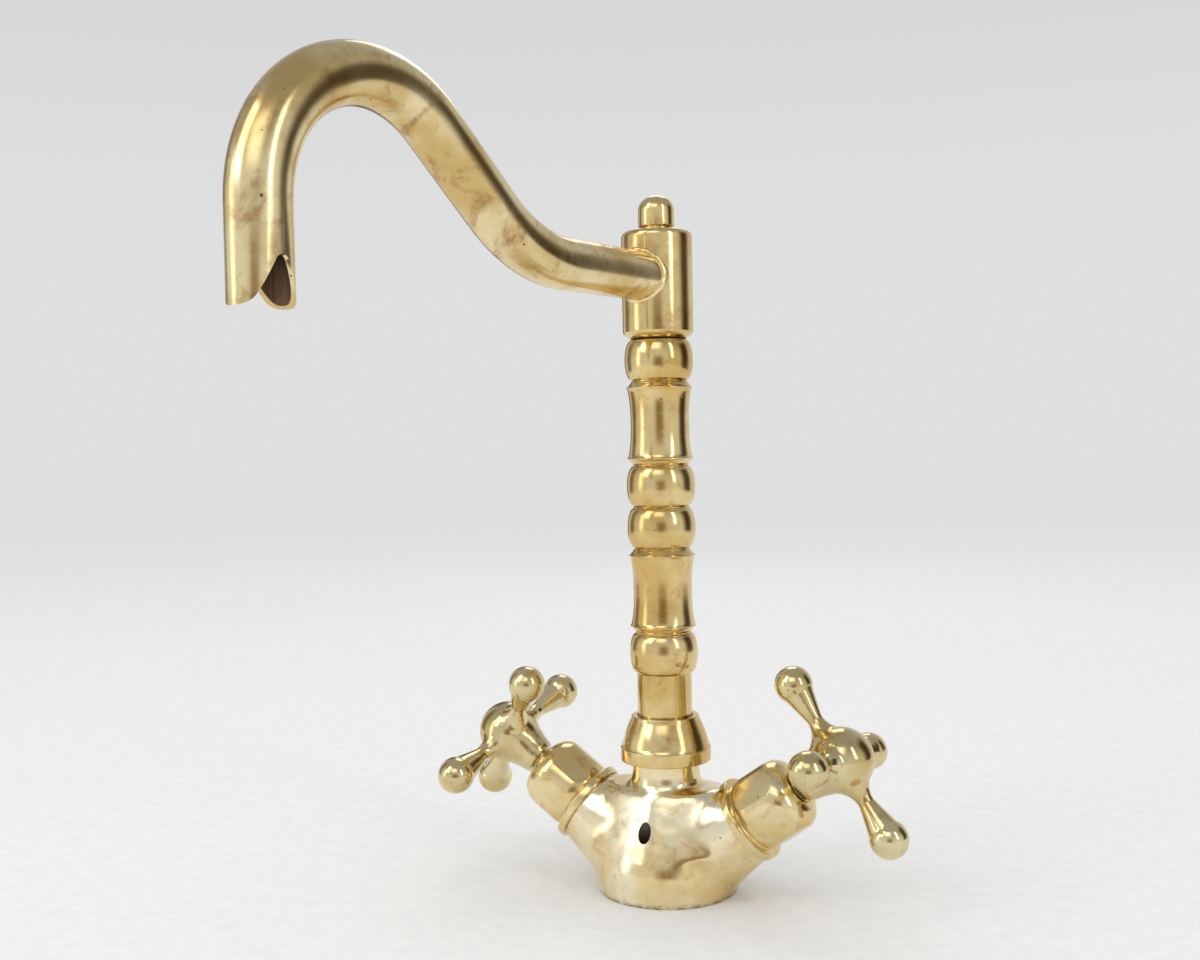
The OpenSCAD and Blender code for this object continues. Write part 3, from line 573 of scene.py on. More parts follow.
class EffectShelf:
    """Builds each shared effect when it is first asked for, and keeps it.

    Each fill method takes the group's graph and the outputs of its input node, and returns what
    feeds the group's outputs, by their names.
    """

    def __init__(self) -> None:
        """Start with no effect built."""
        self.built: dict[Effect, bpy.types.NodeTree] = {}

    def put(self, graph: Graph, effect: Effect, place: Socket,
            **values: object) -> Sequence[Socket]:
        """Place a shared effect in a material.

        Args:
            graph: the material's nodes.
            effect: which effect.
            place: the place that it follows.
            values: its other inputs, by their names.

        Returns:
            The effect's outputs.
        """
        if effect not in self.built:
            self.built[effect] = self.build(effect)
        return graph.add("Group", {"Place": place, **values}, node_tree=self.built[effect]).outputs

    def build(self, effect: Effect) -> bpy.types.NodeTree:
        """Make an effect's group with its sockets and fill it.

        Args:
            effect: which effect to build.

        Returns:
            The finished node group.
        """
        tree = bpy.data.node_groups.new(effect.value, "ShaderNodeTree")
        taken, given = SOCKETS[effect]
        for direction, entries in (("INPUT", f"Place:Vector {taken}"), ("OUTPUT", given)):
            for entry in entries.split():
                name, kind = entry.split(":")
                tree.interface.new_socket(
                    name=name, in_out=direction, socket_type=f"NodeSocket{kind}")
        graph = Graph(tree)
        inlet = tree.nodes.new("NodeGroupInput").outputs
        fill = getattr(self, f"fill_{effect.name.lower()}")
        graph.feed(tree.nodes.new("NodeGroupOutput").inputs, fill(graph, inlet))
        return tree

    def fill_tone(self, graph: Graph, inlet: Sequence[Socket]) -> Marks:
        """Mix three tones of one metal in broad clouds and small flecks."""
        place, scale = inlet["Place"], inlet["Scale"]
        broad = graph.fade(graph.noise(place, scale), low=0.36, high=0.64)
        flecks = graph.noise(place, graph.times(scale, 4.3), detail=4.0, rough=0.6, swirl=0.6)
        fine = graph.fade(flecks, low=0.52, high=0.78, top=0.6)
        base = graph.mix(broad, inlet["Pale"], inlet["Mid"])
        return {"Tone": graph.mix(fine, base, inlet["Deep"])}

    def fill_tarnish(self, graph: Graph, inlet: Sequence[Socket]) -> Marks:
        """Spread irregular stains with soft, broken borders over a share of the surface."""
        place, scale = inlet["Place"], inlet["Scale"]
        stain = graph.noise(place, scale, detail=5.0, rough=0.62, swirl=0.9)
        start = graph.sum("SUBTRACT", 0.74, graph.times(inlet["Cover"], 0.34))
        rise = graph.sum("DIVIDE", graph.sum("SUBTRACT", stain, start), 0.13)
        grain = graph.noise(place, graph.times(scale, 9.0), detail=4.0, rough=0.65)
        broken = graph.fade(grain, low=0.32, high=0.62, floor=0.4)
        return {"Mask": graph.times(graph.fade(rise, low=0.0, high=1.0), broken)}

    def fill_pits(self, graph: Graph, inlet: Sequence[Socket]) -> Marks:
        """Scatter small round pits, of which only a share is open."""
        cells = graph.add("TexVoronoi", {"Vector": inlet["Place"], "Scale": inlet["Scale"]}).outputs
        chance = graph.add("SeparateColor", {"Color": cells["Color"]}).outputs
        is_open = graph.sum("LESS_THAN", chance[0], inlet["Share"])
        inwards = graph.sum("SUBTRACT", graph.times(chance[1], 0.2), cells["Distance"])
        return {"Mask": graph.times(is_open, graph.fade(inwards, low=-0.04, high=0.08))}

    def fill_hairlines(self, graph: Graph, inlet: Sequence[Socket]) -> Marks:
        """Draw fine parallel lines and a few deeper marks, in a place that is already stretched."""
        place, fineness = inlet["Place"], inlet["Fineness"]
        few = graph.noise(place, graph.times(fineness, 0.37), detail=2.0, rough=0.5)
        return {"Lines": graph.noise(place, fineness, detail=4.0, rough=0.7),
                "Marks": graph.fade(few, low=0.64, high=0.72)}

    def fill_rings(self, graph: Graph, inlet: Sequence[Socket]) -> Marks:
        """Draw the rings that a turning tool leaves, square to the place's Z."""
        up = graph.add("SeparateXYZ", {"Vector": inlet["Place"]}).outputs["Z"]
        feeds = {"W": graph.times(up, inlet["Fineness"]), "Scale": 1.0, "Detail": 3.0}
        return {"Height": graph.add("TexNoise", feeds, noise_dimensions="1D").outputs["Fac"]}

    def fill_grime(self, graph: Graph, inlet: Sequence[Socket]) -> Marks:
        """Paint shade, from ambient occlusion, into what lies in a corner or a groove, unevenly."""
        shade = graph.add("AmbientOcclusion", {"Distance": inlet["Reach"]}, samples=6)
        hidden = graph.sum("SUBTRACT", 1.0, shade.outputs["AO"])
        dust = graph.noise(inlet["Place"], scale=420.0)
        uneven = graph.fade(dust, low=0.3, high=0.7, floor=0.75, top=1.2)
        return {"Mask": graph.fade(graph.times(hidden, uneven), low=0.38, high=0.86)}

    def fill_film(self, graph: Graph, inlet: Sequence[Socket]) -> Marks:
        """Vary the gloss as handling does, and the slope as hand polishing does."""
        place, scale = inlet["Place"], inlet["Scale"]
        film = graph.noise(place, scale, detail=5.0, rough=0.6, swirl=0.4)
        return {"Film": graph.fade(film, low=0.3, high=0.75),
                "Swell": graph.noise(place, graph.times(scale, 2.6), detail=1.5)}


SHELF = EffectShelf()


@dataclass(frozen=True)
class Finish:
    """What every finish has: a name and the record's slot."""

    name: str
    slot: str

    def material(self) -> bpy.types.Material:
        """Give the finish's material, which is built the first time.

        Returns:
            The material.
        """
        material = bpy.data.materials.get(self.name)
        if material is None:
            material = bpy.data.materials.new(self.name)
            graph = Graph.on(material)
            shader = graph.add("BsdfPrincipled", self.surface(graph))
            graph.end("Material", shader.outputs["BSDF"])
        return material

    def surface(self, graph: Graph) -> dict:
        """Give what the shader is fed with. Each kind of finish has its own way."""
        raise NotImplementedError


@dataclass(frozen=True)
class BrassFinish(Finish):
    """Polished brass that was left without lacquer: three tones, stains, pits, polishing marks and painted shade.

    Scales and finenesses count what lies in a metre, depths are in micrometres, and a strength is
    the share of its colour that a mark lays on.
    """

    pale: Colour = tint(238, 222, 174)
    mid: Colour = tint(226, 198, 134)
    deep: Colour = tint(194, 152, 86)
    stain: Colour = tint(150, 92, 50)
    # Colour of the pits' dirt and of painted shade in crevices.
    pit_dirt_and_shade: Colour = tint(48, 36, 22)
    # Colour of painted shade inside a bore, and in the crevices of a piece with a bore.
    bore_and_crevice_shade: Colour = tint(70, 40, 24)
    bore_r: float = 0.0
    bore_edge: float = 0.15
    bore_mount: str = ""
    cloud_scale: float = 46.0
    film_scale: float = 38.0
    stain_scale: float = 60.0
    stain_cover: float = 0.2
    stain_strength: float = 0.6
    grime_reach: float = 1.8
    grime_strength: float = 0.9
    pit_scale: float = 420.0
    pit_share: float = 0.06
    pit_strength: float = 0.85
    pit_depth: float = 26.0
    roughness: float = 0.1
    line_stretch: Triple = (1.0, 1.0, 0.05)
    line_fineness: float = 2600.0
    line_depth: float = 0.6
    mark_depth: float = 1.2
    ring_fineness: float = 3400.0
    ring_depth: float = 0.0
    swell_depth: float = 24.0
    lean: float = 0.0
    place_attribute: str = ""

    def surface(self, graph: Graph) -> dict:
        """Lay the tones, the stains and the marks.

        Args:
            graph: the material's nodes.

        Returns:
            What the shader is fed with.
        """
        if self.place_attribute:
            source = graph.add("Attribute", attribute_name=self.place_attribute).outputs["Vector"]
        else:
            source = graph.place()
        place = graph.mapping(source, Rotation=(0.0, -self.lean, 0.0))
        tone = SHELF.put(graph, Effect.TONE, place, Scale=self.cloud_scale, Pale=self.pale,
                         Mid=self.mid, Deep=self.deep)
        stain = SHELF.put(graph, Effect.TARNISH, place, Scale=self.stain_scale,
                          Cover=self.stain_cover)
        pits = SHELF.put(graph, Effect.PITS, place, Scale=self.pit_scale, Share=self.pit_share)
        lines = SHELF.put(graph, Effect.HAIRLINES, graph.mapping(place, Scale=self.line_stretch),
                          Fineness=self.line_fineness)
        film = SHELF.put(graph, Effect.FILM, place, Scale=self.film_scale)
        # Painted shade: ambient occlusion darkens crevices and grooves, dulls them and makes them less metallic; a
        # bore's inside is painted dark the same way.
        grime = SHELF.put(graph, Effect.GRIME, place, Reach=self.grime_reach * MM)["Mask"]
        if self.bore_r:
            grime = graph.sum("MAXIMUM", grime, self.inside(graph, source))
        marks = {"tone": tone["Tone"], "stain": stain["Mask"], "pits": pits["Mask"], "grime": grime,
                 "lines": lines["Lines"], "marks": lines["Marks"], "film": film["Film"],
                 "swell": film["Swell"]}
        return {"Base Color": self.colour(graph, marks),
                "Metallic": graph.total(1.0, [(grime, -0.45)]),
                "Roughness": self.gloss(graph, marks),
                "Normal": graph.bump(self.relief(graph, place, marks))}

    def inside(self, graph: Graph, place: Socket) -> Socket:
        """Mask a bore's inside, where shade is painted, by the distance from its axis.

        Args:
            graph: the material's nodes.
            place: the straight place, whose X is the axis where no mount is named.

        Returns:
            The mask of the bore's painted shade.
        """
        if self.bore_mount:
            row = mount(self.bore_mount)
            turn = Vector(row["axis"]).to_track_quat("X", "Z").to_euler()
            place = graph.mapping(place, "TEXTURE", Location=tuple(row["pos_m"]),
                                  Rotation=tuple(turn))
        across = graph.mapping(place, Scale=(0.0, 1.0, 1.0))
        radius = graph.add("VectorMath", {0: across}, operation="LENGTH").outputs["Value"]
        edge_r = self.bore_r + self.bore_edge
        return graph.fade(radius, self.bore_r * MM, edge_r * MM, floor=1.0, top=0.0)

    def colour(self, graph: Graph, marks: Marks) -> Socket:
        """Lay stains, pits and painted shade in crevices and bores over the metal's tone.

        Args:
            graph: the material's nodes.
            marks: the masks of all the marks.

        Returns:
            The colour.
        """
        layers = [("stain", self.stain_strength, self.stain),
                  ("pits", self.pit_strength, self.pit_dirt_and_shade),
                  ("grime", self.grime_strength, self.bore_and_crevice_shade if self.bore_r else self.pit_dirt_and_shade)]
        colour = marks["tone"]
        for mark, strength, shade in layers:
            colour = graph.mix(graph.times(marks[mark], strength), colour, shade)
        return colour

    def gloss(self, graph: Graph, marks: Marks) -> Socket:
        """Make the stains, marks and handled places duller than the polished metal."""
        duller = {"film": 0.07, "stain": 0.14, "marks": 0.1, "lines": 0.05, "grime": 0.3}
        return graph.total(self.roughness, [(marks[mark], share) for mark, share in duller.items()])

    def relief(self, graph: Graph, place: Socket, marks: Marks) -> Socket:
        """Raise the swells and the lines and sink the marks and the pits.

        Args:
            graph: the material's nodes.
            place: the place on the piece.
            marks: the masks of all the marks.

        Returns:
            The height.
        """
        heights = [(marks["swell"], self.swell_depth), (marks["lines"], self.line_depth),
                   (marks["marks"], -self.mark_depth * self.line_depth),
                   (marks["pits"], -self.pit_depth)]
        if self.ring_depth:
            rings = SHELF.put(graph, Effect.RINGS, place, Fineness=self.ring_fineness)
            heights.append((rings["Height"], self.ring_depth))
        return graph.total(0.0, heights)


@dataclass(frozen=True)
class PlainFinish(Finish):
    """A material of one substance, mottled and finely grained: rubber, nylon, ceramic or steel."""

    light: Colour = tint(200, 200, 200)
    dark: Colour = tint(180, 180, 180)
    metallic: float = 0.0
    roughness: float = 0.5
    spread: float = 0.1
    cloud_scale: float = 260.0
    grain_scale: float = 2200.0
    grain_depth: float = 4.0
    grime_reach: float = 0.8
    stretch: Triple = (1.0, 1.0, 1.0)
    coat: float = 0.0

    def surface(self, graph: Graph) -> dict:
        """Lay the mottled colour, the gloss and the grain.

        Args:
            graph: the material's nodes.

        Returns:
            What the shader is fed with.
        """
        place = graph.place()
        tone = SHELF.put(graph, Effect.TONE, place, Scale=self.cloud_scale, Pale=self.light,
                         Mid=self.dark, Deep=self.dark)["Tone"]
        film = SHELF.put(graph, Effect.FILM, place, Scale=self.cloud_scale)["Film"]
        grime = SHELF.put(graph, Effect.GRIME, place, Reach=self.grime_reach * MM)["Mask"]
        grain = SHELF.put(graph, Effect.HAIRLINES, graph.mapping(place, Scale=self.stretch),
                          Fineness=self.grain_scale)["Lines"]
        # Painted shade: crevices are darkened towards the dark tone by ambient occlusion.
        return {"Base Color": graph.mix(graph.times(grime, 0.5), tone, self.dark),
                "Metallic": self.metallic, "Coat Weight": self.coat,
                "Roughness": graph.total(self.roughness, [(film, self.spread), (grain, 0.06)]),
                "Normal": graph.bump(graph.times(grain, self.grain_depth))}


STRAIGHT_PLACE = "straight_place"
# The cast body's pale and mid tones are lighter than the other brass: partly painted highlight, for the bright
# reflection on its front.
CAST_BRASS = BrassFinish(
    "cast_brass", "polished_brass", pale=tint(248, 238, 206), mid=tint(234, 210, 154),
    stain_cover=0.34, stain_strength=0.6, pit_share=0.1, roughness=0.12,
    line_stretch=(1.0, 0.12, 1.0), line_fineness=1500.0, swell_depth=40.0, grime_reach=4.0,
    bore_and_crevice_shade=tint(40, 30, 18), bore_r=2.3, bore_mount="front_hole")
TURNED_BRASS = BrassFinish(
    "turned_brass", "polished_brass", pale=tint(230, 208, 152), mid=tint(212, 180, 112),
    deep=tint(182, 136, 72), stain_cover=0.42, stain_strength=0.7, roughness=0.1, ring_depth=0.7,
    line_stretch=(0.3, 0.3, 1.0), line_fineness=2400.0, line_depth=0.3, swell_depth=26.0)
DRAWN_BRASS = BrassFinish(
    "drawn_brass", "polished_brass", mid=tint(212, 184, 122), deep=tint(174, 132, 76),
    stain_cover=0.5, stain_strength=0.65, pit_share=0.12, roughness=0.15,
    line_stretch=(0.03, 1.0, 1.0), line_fineness=1300.0, line_depth=1.4, swell_depth=45.0,
    place_attribute=STRAIGHT_PLACE, bore_r=7.35)
HANDLE_BRASS = BrassFinish(
    "handle_brass", "polished_brass", pale=tint(228, 214, 170), mid=tint(208, 186, 130),
    deep=tint(180, 146, 90), stain_cover=0.22, stain_strength=0.55, pit_share=0.05, roughness=0.1,
    line_stretch=(1.0, 0.5, 0.4), line_fineness=1800.0, line_depth=0.4, swell_depth=30.0)
BRAZE_BRASS = BrassFinish(
    "braze_brass", "bright_brass", pale=tint(246, 226, 176), stain_cover=0.5, stain_strength=0.7,
    pit_share=0.3, pit_scale=900.0, roughness=0.2, swell_depth=12.0)
MACHINED_BRASS = BrassFinish(
    "machined_brass", "bright_brass", pale=tint(248, 226, 160), mid=tint(240, 214, 142),
    deep=tint(222, 190, 112), stain_cover=0.02, pit_share=0.0, roughness=0.2,
    line_stretch=(1.0, 1.0, 1.0), ring_depth=1.6, swell_depth=0.5)
RUBBER = PlainFinish(
    "black_rubber", "rubber", light=tint(44, 44, 46), dark=tint(26, 26, 28), roughness=0.62,
    grain_depth=14.0)
NYLON = PlainFinish(
    "natural_nylon", "nylon", light=tint(226, 221, 204), dark=tint(208, 201, 182), roughness=0.42,
    grain_depth=5.0, coat=0.1)
CERAMIC = PlainFinish(
    "lapped_ceramic", "ceramic", light=tint(238, 234, 224), dark=tint(224, 218, 206),
    roughness=0.22, grain_depth=2.0, coat=0.35)
STEEL = PlainFinish(
    "bright_steel", "steel", light=tint(190, 192, 194), dark=tint(158, 160, 164), metallic=1.0,
    roughness=0.26, grain_depth=3.0, stretch=(1.0, 1.0, 0.2))


def bonnet_finish(side: Side) -> BrassFinish:
    """Give a bonnet's finish, whose rings lie square to the valve's axis.

    Args:
        side: the bonnet's valve.

    Returns:
        The finish.
    """
    return BrassFinish(
        f"{side.value}_bonnet_brass", "polished_brass", stain_cover=0.34, stain_strength=0.65,
        pit_share=0.05, roughness=0.1, ring_depth=0.6, line_stretch=(0.3, 0.3, 1.0),
        line_fineness=2000.0, line_depth=0.3, swell_depth=24.0, lean=valve_lean(side))


@dataclass
class MixerBody:
    """The casting: round foot, sloping shoulders, neck and two inclined arms that melt into it.

    The steps of a bore are pairs of a radius and the height at which it starts.
    """

    foot_r: float = 25.5
    foot_round: float = 0.9
    bowl_draw: float = 0.2
    bowl_bulge: float = 0.8
    bowl_z: float = 14.0
    shoulder_r: float = 15.0
    shoulder_z: float = 37.2
    neck_r: float = 12.3
    fillet_h: float = 5.3
    neck_z: float = 47.0
    thread_r: float = 11.5
    thread_z: float = 57.0
    thread_root: float = 2.0
    thread_start: float = 0.2
    thread_core: float = 1.0
    thread_depth: float = 0.5
    thread_edge: float = 0.6
    thread_pitch: float = 1.2
    thread_turns: int = 8
    arm_root: float = 12.0
    arm_end: float = 38.0
    arm_end_r: float = 14.3
    arm_flare: float = 0.17
    web_z: float = 14.5
    web_tilt: float = 22.0
    web_root_r: float = 20.2
    web_end_r: float = 13.1
    web_stop: float = 36.5
    saddle_shares: tuple[float, ...] = (0.25, 0.5, 0.75, 1.0)
    saddle_x: float = 12.0
    saddle_z: float = 15.0
    saddle_lean: float = 7.5
    saddle_h: float = 22.6
    saddle_root_r: float = 20.6
    saddle_top_r: float = 12.4
    valve_steps: tuple = ((3.5, 11.8), (9.3, 17.0), (10.4, 29.5), (11.6, 36.6))
    chamber_steps: tuple = ((6.5, 20.0), (8.98, 35.5))
    groove_in_r: float = 20.7
    groove_out_r: float = 23.3
    groove_h: float = 2.6
    hole_back: float = 2.2
    hole_ahead: float = 6.0
    spare: float = 4.0
    swell: float = 11.0
    swell_h: float = 0.22
    voxel: float = 0.55
    smoothing: int = 100

    def outline(self) -> Outline:
        """Give the half outline of the round middle, with spare length at its foot and its neck.

        Returns:
            The points, from the axis below to the axis above.
        """
        foot_r, top = self.foot_r - self.foot_round, self.neck_z + self.spare
        bowl = [(self.foot_r + self.bowl_bulge * sin(2 * a), self.bowl_z * a / 90)
                for a in range(6, 90, 12)]
        fillet = [(self.neck_r + (self.shoulder_r - self.neck_r) * (1 - sin(a)),
                   self.shoulder_z + self.fillet_h * (1 - cos(a))) for a in range(0, 91, 15)]
        return [(0, -self.spare), (foot_r, -self.spare), (foot_r, 0), *bowl,
                (self.foot_r - self.bowl_draw, self.bowl_z), *fillet, (self.neck_r, top), (0, top)]

    def arm(self, side: Side) -> Piece:
        """Give one arm as a cone that is longer than the real one at its end.

        Args:
            side: the arm's valve.

        Returns:
            The arm, in place.
        """
        root_r = self.arm_end_r + self.arm_flare * (self.arm_end - self.arm_root)
        end_r = self.arm_end_r - self.arm_flare * self.spare
        length = self.arm_end + self.spare - self.arm_root
        arm = Bench.cone(f"{side.value}_arm", root_r, end_r, length, self.arm_root)
        Bench.settle(arm, on_valve(side))
        return arm

    def web(self, side: Side) -> Piece:
        """Give the web in the corner between the middle and an arm, which ends short of the bonnet.

        Args:
            side: the arm's valve.

        Returns:
            The web, in place.
        """
        web = Bench.cone(f"{side.value}_web", self.web_root_r, self.web_end_r, self.arm_end)
        Bench.settle(web, moved(0, 0, self.web_z) @ turned("Y", side.sign * (90 - self.web_tilt)))
        Bench.slice_off(web, on_valve(side), self.web_stop)
        return web

    def saddles(self, side: Side) -> list[Piece]:
        """Give the row of leaning cones that makes the front broad between the arms.

        Args:
            side: the side of the middle on which they stand.

        Returns:
            The cones, in place, from the middle outwards.
        """
        slope = (self.foot_r - self.bowl_draw - self.shoulder_r) / (self.shoulder_z - self.bowl_z)
        middle_r = self.shoulder_r + slope * (self.shoulder_z - self.saddle_z)
        row = []
        for share in self.saddle_shares:
            root_r = middle_r + share * (self.saddle_root_r - middle_r)
            top_r = self.shoulder_r + share * (self.saddle_top_r - self.shoulder_r)
            saddle = Bench.cone(f"{side.value}_saddle", root_r, top_r, self.saddle_h)
            foot = moved(side.sign * share * self.saddle_x, 0, self.saddle_z)
            Bench.settle(saddle, foot @ turned("Y", -side.sign * share * self.saddle_lean))
            row.append(saddle)
        return row

    def neck_thread(self) -> Piece:
        """Give the neck's upper end, with its thread drawn as rings.

        Returns:
            The solid that is fused onto the neck.
        """
        core_r, half = self.thread_r - self.thread_core, self.thread_pitch / 2
        foot = self.neck_z - self.thread_root
        outline = [(0, foot), (core_r, foot), (core_r, self.neck_z + self.thread_start)]
        for turn in range(self.thread_turns):
            z = self.neck_z + half + self.thread_pitch * turn
            outline += [(self.thread_r - self.thread_depth, z), (self.thread_r, z + half)]
        outline += [(self.thread_r - self.thread_edge, self.thread_z), (0, self.thread_z)]
        return Bench.lathe("neck_thread", outline, steps=BORE_STEPS)

    def tools(self) -> list[Piece]:
        """Give the tools for the valves' cavities and for what the mounts and the foot ask.

        Returns:
            The tools, in place.
        """
        tools = []
        for side in Side:
            cavity = stepped(self.valve_steps, self.arm_end + self.spare)
            tools.append(Bench.lathe(f"{side.value}_cavity_tool", cavity, steps=BORE_STEPS))
            Bench.settle(tools[-1], on_valve(side))
        row = mount("front_hole")
        radius = row["dims"]["r_mm"]
        back, ahead = -self.hole_back * radius, self.hole_ahead * radius
        tools.append(Bench.rod("front_hole_tool", radius, back, ahead, sides=40))
        Bench.settle(tools[-1], on_mount(row))
        for name in ("hot_inlet", "cold_inlet", "stud_hole"):
            row = mount(name)
            tools.append(Bench.rod(
                f"{name}_tool", row["dims"]["r_mm"], -OVERSHOOT, row["dims"]["length_mm"]))
            Bench.settle(tools[-1], Matrix.Translation(Vector(row["pos_m"])))
        inner, outer, roof = self.groove_in_r, self.groove_out_r, self.groove_h
        groove = [(inner, -OVERSHOOT), (outer, -OVERSHOOT), (outer, roof), (inner, roof)]
        tools.append(Bench.lathe("gasket_groove_tool", groove, closed=True))
        chamber = stepped(self.chamber_steps, self.thread_z + OVERSHOOT)
        tools.append(Bench.lathe("mixing_chamber_tool", chamber, steps=BORE_STEPS))
        return tools

    def build(self) -> None:
        """Model the casting and put it in the place of its node."""
        bowl = Bench.lathe("body_casting", self.outline(), steps=CAST_STEPS)
        parts = [make(side) for side in Side for make in (self.arm, self.web)]
        rows = [saddle for side in Side for saddle in self.saddles(side)]
        casting = Bench.join([bowl, *parts, *rows])
        Bench.blend_solid(casting, self.voxel, self.smoothing)
        Bench.ripple(casting, self.swell, self.swell_h)
        Bench.slice_off(casting, Matrix(), 0, below=True)
        Bench.slice_off(casting, Matrix(), self.neck_z)
        for side in Side:
            Bench.slice_off(casting, on_valve(side), self.arm_end)
        Bench.combine(casting, self.neck_thread(), Joining.FUSE)
        for tool in self.tools():
            Bench.combine(casting, tool, Joining.CUT)
        Bench.finish(casting, "base", "mixer_body", CAST_BRASS, sharp=38)


@dataclass
class CollarNut:
    """The tapered nut that holds the turning column down on the neck."""

    foot_z: float = 47.0
    radius: float = 16.4
    band_h: float = 5.0
    band_round: float = 0.25
    step: float = 0.35
    step_h: float = 0.2
    bulge: float = 0.35
    height: float = 16.4
    top_margin: float = 0.9
    top_r: float = 12.3
    top_round: float = 0.4
    thread_r: float = 11.55
    thread_h: float = 12.5
    mouth_r: float = 10.2
    edge: float = 0.6

    def build(self) -> None:
        """Turn the nut from its outline, up its outside and down its bore."""
        foot, band, top = self.foot_z, self.foot_z + self.band_h, self.foot_z + self.height
        start_r, rise = self.radius - self.step, self.height - self.top_margin - self.band_h
        taper = [(start_r - (start_r - self.top_r) * i / 8 + self.bulge * math.sin(math.pi * i / 8),
                  band + self.step_h + rise * i / 8) for i in range(9)]
        thread_end = foot + self.thread_h
        outline = [
            (self.thread_r, foot),
            *arc(self.radius - self.edge, foot + self.edge, self.edge, -90, 0, 5),
            *arc(self.radius - self.band_round, band - self.band_round, self.band_round, 0, 60, 3),
            *taper,
            *arc(self.top_r - self.top_round, top - self.top_round, self.top_round, 20, 90, 4),
            (self.mouth_r, top), (self.mouth_r, thread_end), (self.thread_r, thread_end)]
        nut = Bench.lathe("collar_nut_turned", outline, closed=True, steps=FINE_STEPS)
        Bench.finish(nut, "base", "collar_nut", TURNED_BRASS)


@dataclass
class TurnedColumn:
    """The column: a plain foot, then beads and waisted spools between sharp grooves.

    The steps of a spool's cone are pairs, outwards from the groove and up from the spool's start,
    and its lip's foot is a pair, inwards from the lip and down from the cone's top.
    """

    spigot_r: float = 8.9
    spigot_z: float = 36.0
    spigot_edge: float = 0.6
    ring_places: tuple[float, ...] = (4.0, 12.0)
    ring_r: float = 7.3
    ring_half_w: float = 1.05
    neck_top_z: float = 57.0
    neck_gap: float = 0.1
    throat: float = 1.0
    tube_foot_z: float = 59.4
    tube_r: float = 9.9
    turning_z: float = 78.6
    groove_r: float = 10.3
    groove_z: float = 0.15
    groove_end: float = 0.4
    fine_groove: float = 0.35
    bead_r: float = 12.4
    bead_h: float = 15.1
    bead_curve: float = 1.15
    bead_margin: float = 0.45
    spool_h: float = 30.3
    spool_curve: float = 2.6
    lip_r: float = 12.0
    lip_round: float = 0.28
    lip_up: float = 0.2
    lip_foot: tuple = (0.35, 0.15)
    waist_r: float = 10.6
    waist_margin: float = 0.75
    waist_step: float = 0.4
    cone_h: float = 2.2
    cone_steps: tuple = ((0.05, 0.4), (0.35, 0.9), (0.85, 1.5))
    top_z: float = 199.6
    tenon_r: float = 8.45
    tenon_h: float = 7.0
    bore_r: float = 6.5

    def bead(self, z: float) -> Outline:
        """Give the outline of a bead.

        Args:
            z: the height at which it starts.

        Returns:
            Its points, from below upwards.
        """
        middle = z + self.bead_h / 2
        reach, rise = self.bead_r - self.groove_r, self.bead_h / 2 - self.bead_margin
        swell = [(self.groove_r + reach * cos(a) ** self.bead_curve, middle + rise * sin(a))
                 for a in range(-84, 85, 7)]
        low = [(self.groove_r - self.fine_groove, z + self.groove_z),
               (self.groove_r, z + self.groove_end)]
        return low + swell + mirrored(low, middle)

    def spool(self, z: float) -> Outline:
        """Give the outline of a spool: cone, lip, hollow waist, lip and cone.

        Args:
            z: the height at which it starts.

        Returns:
            Its points, from below upwards.
        """
        middle, cone_z = z + self.spool_h / 2, z + self.cone_h
        half = self.spool_h / 2 - self.cone_h - self.waist_margin
        reach = self.lip_r - self.waist_r - self.waist_step
        waist = [(self.waist_r + reach * abs(i / 12) ** self.spool_curve, middle + half * i / 12)
                 for i in range(-12, 13)]
        low = [(self.groove_r - self.fine_groove, z + self.groove_z),
               *((self.groove_r + out, z + up) for out, up in self.cone_steps),
               (self.lip_r - self.lip_foot[0], cone_z - self.lip_foot[1]),
               *arc(self.lip_r - self.lip_round, cone_z + self.lip_up, self.lip_round, -55, 50, 5)]
        return low + waist + mirrored(low, middle)

    def outline(self) -> Outline:
        """Give the whole closed outline, from the spigot up and back down the bore.

        Returns:
            The points.
        """
        spigot, spigot_z = self.spigot_r, self.spigot_z
        points = [(self.bore_r, spigot_z), (spigot - self.spigot_edge, spigot_z),
                  (spigot, spigot_z + self.spigot_edge)]
        for place in self.ring_places:
            low, high = spigot_z + place - self.ring_half_w, spigot_z + place + self.ring_half_w
            points += [(spigot, low), (self.ring_r, low), (self.ring_r, high), (spigot, high)]
        shoulder_z, throat = self.neck_top_z - self.neck_gap, spigot - self.throat
        points += [(spigot, shoulder_z), (throat, shoulder_z), (throat, self.tube_foot_z),
                   (self.tube_r, self.tube_foot_z), (self.tube_r, self.turning_z)]
        z = self.turning_z
        bead, spool = (self.bead, self.bead_h), (self.spool, self.spool_h)
        for part, height in (bead, spool, bead, bead, spool, bead):
            points += part(z)
            z += height
        tenon, tenon_z = self.tenon_r, self.top_z + self.tenon_h
        return points + [(tenon, self.top_z), (tenon, tenon_z), (self.bore_r, tenon_z)]

    def build(self) -> None:
        """Turn the column from its outline."""
        column = Bench.lathe("turned_column", self.outline(), closed=True, steps=FINE_STEPS)
        Bench.finish(column, "spout", "column", TURNED_BRASS)


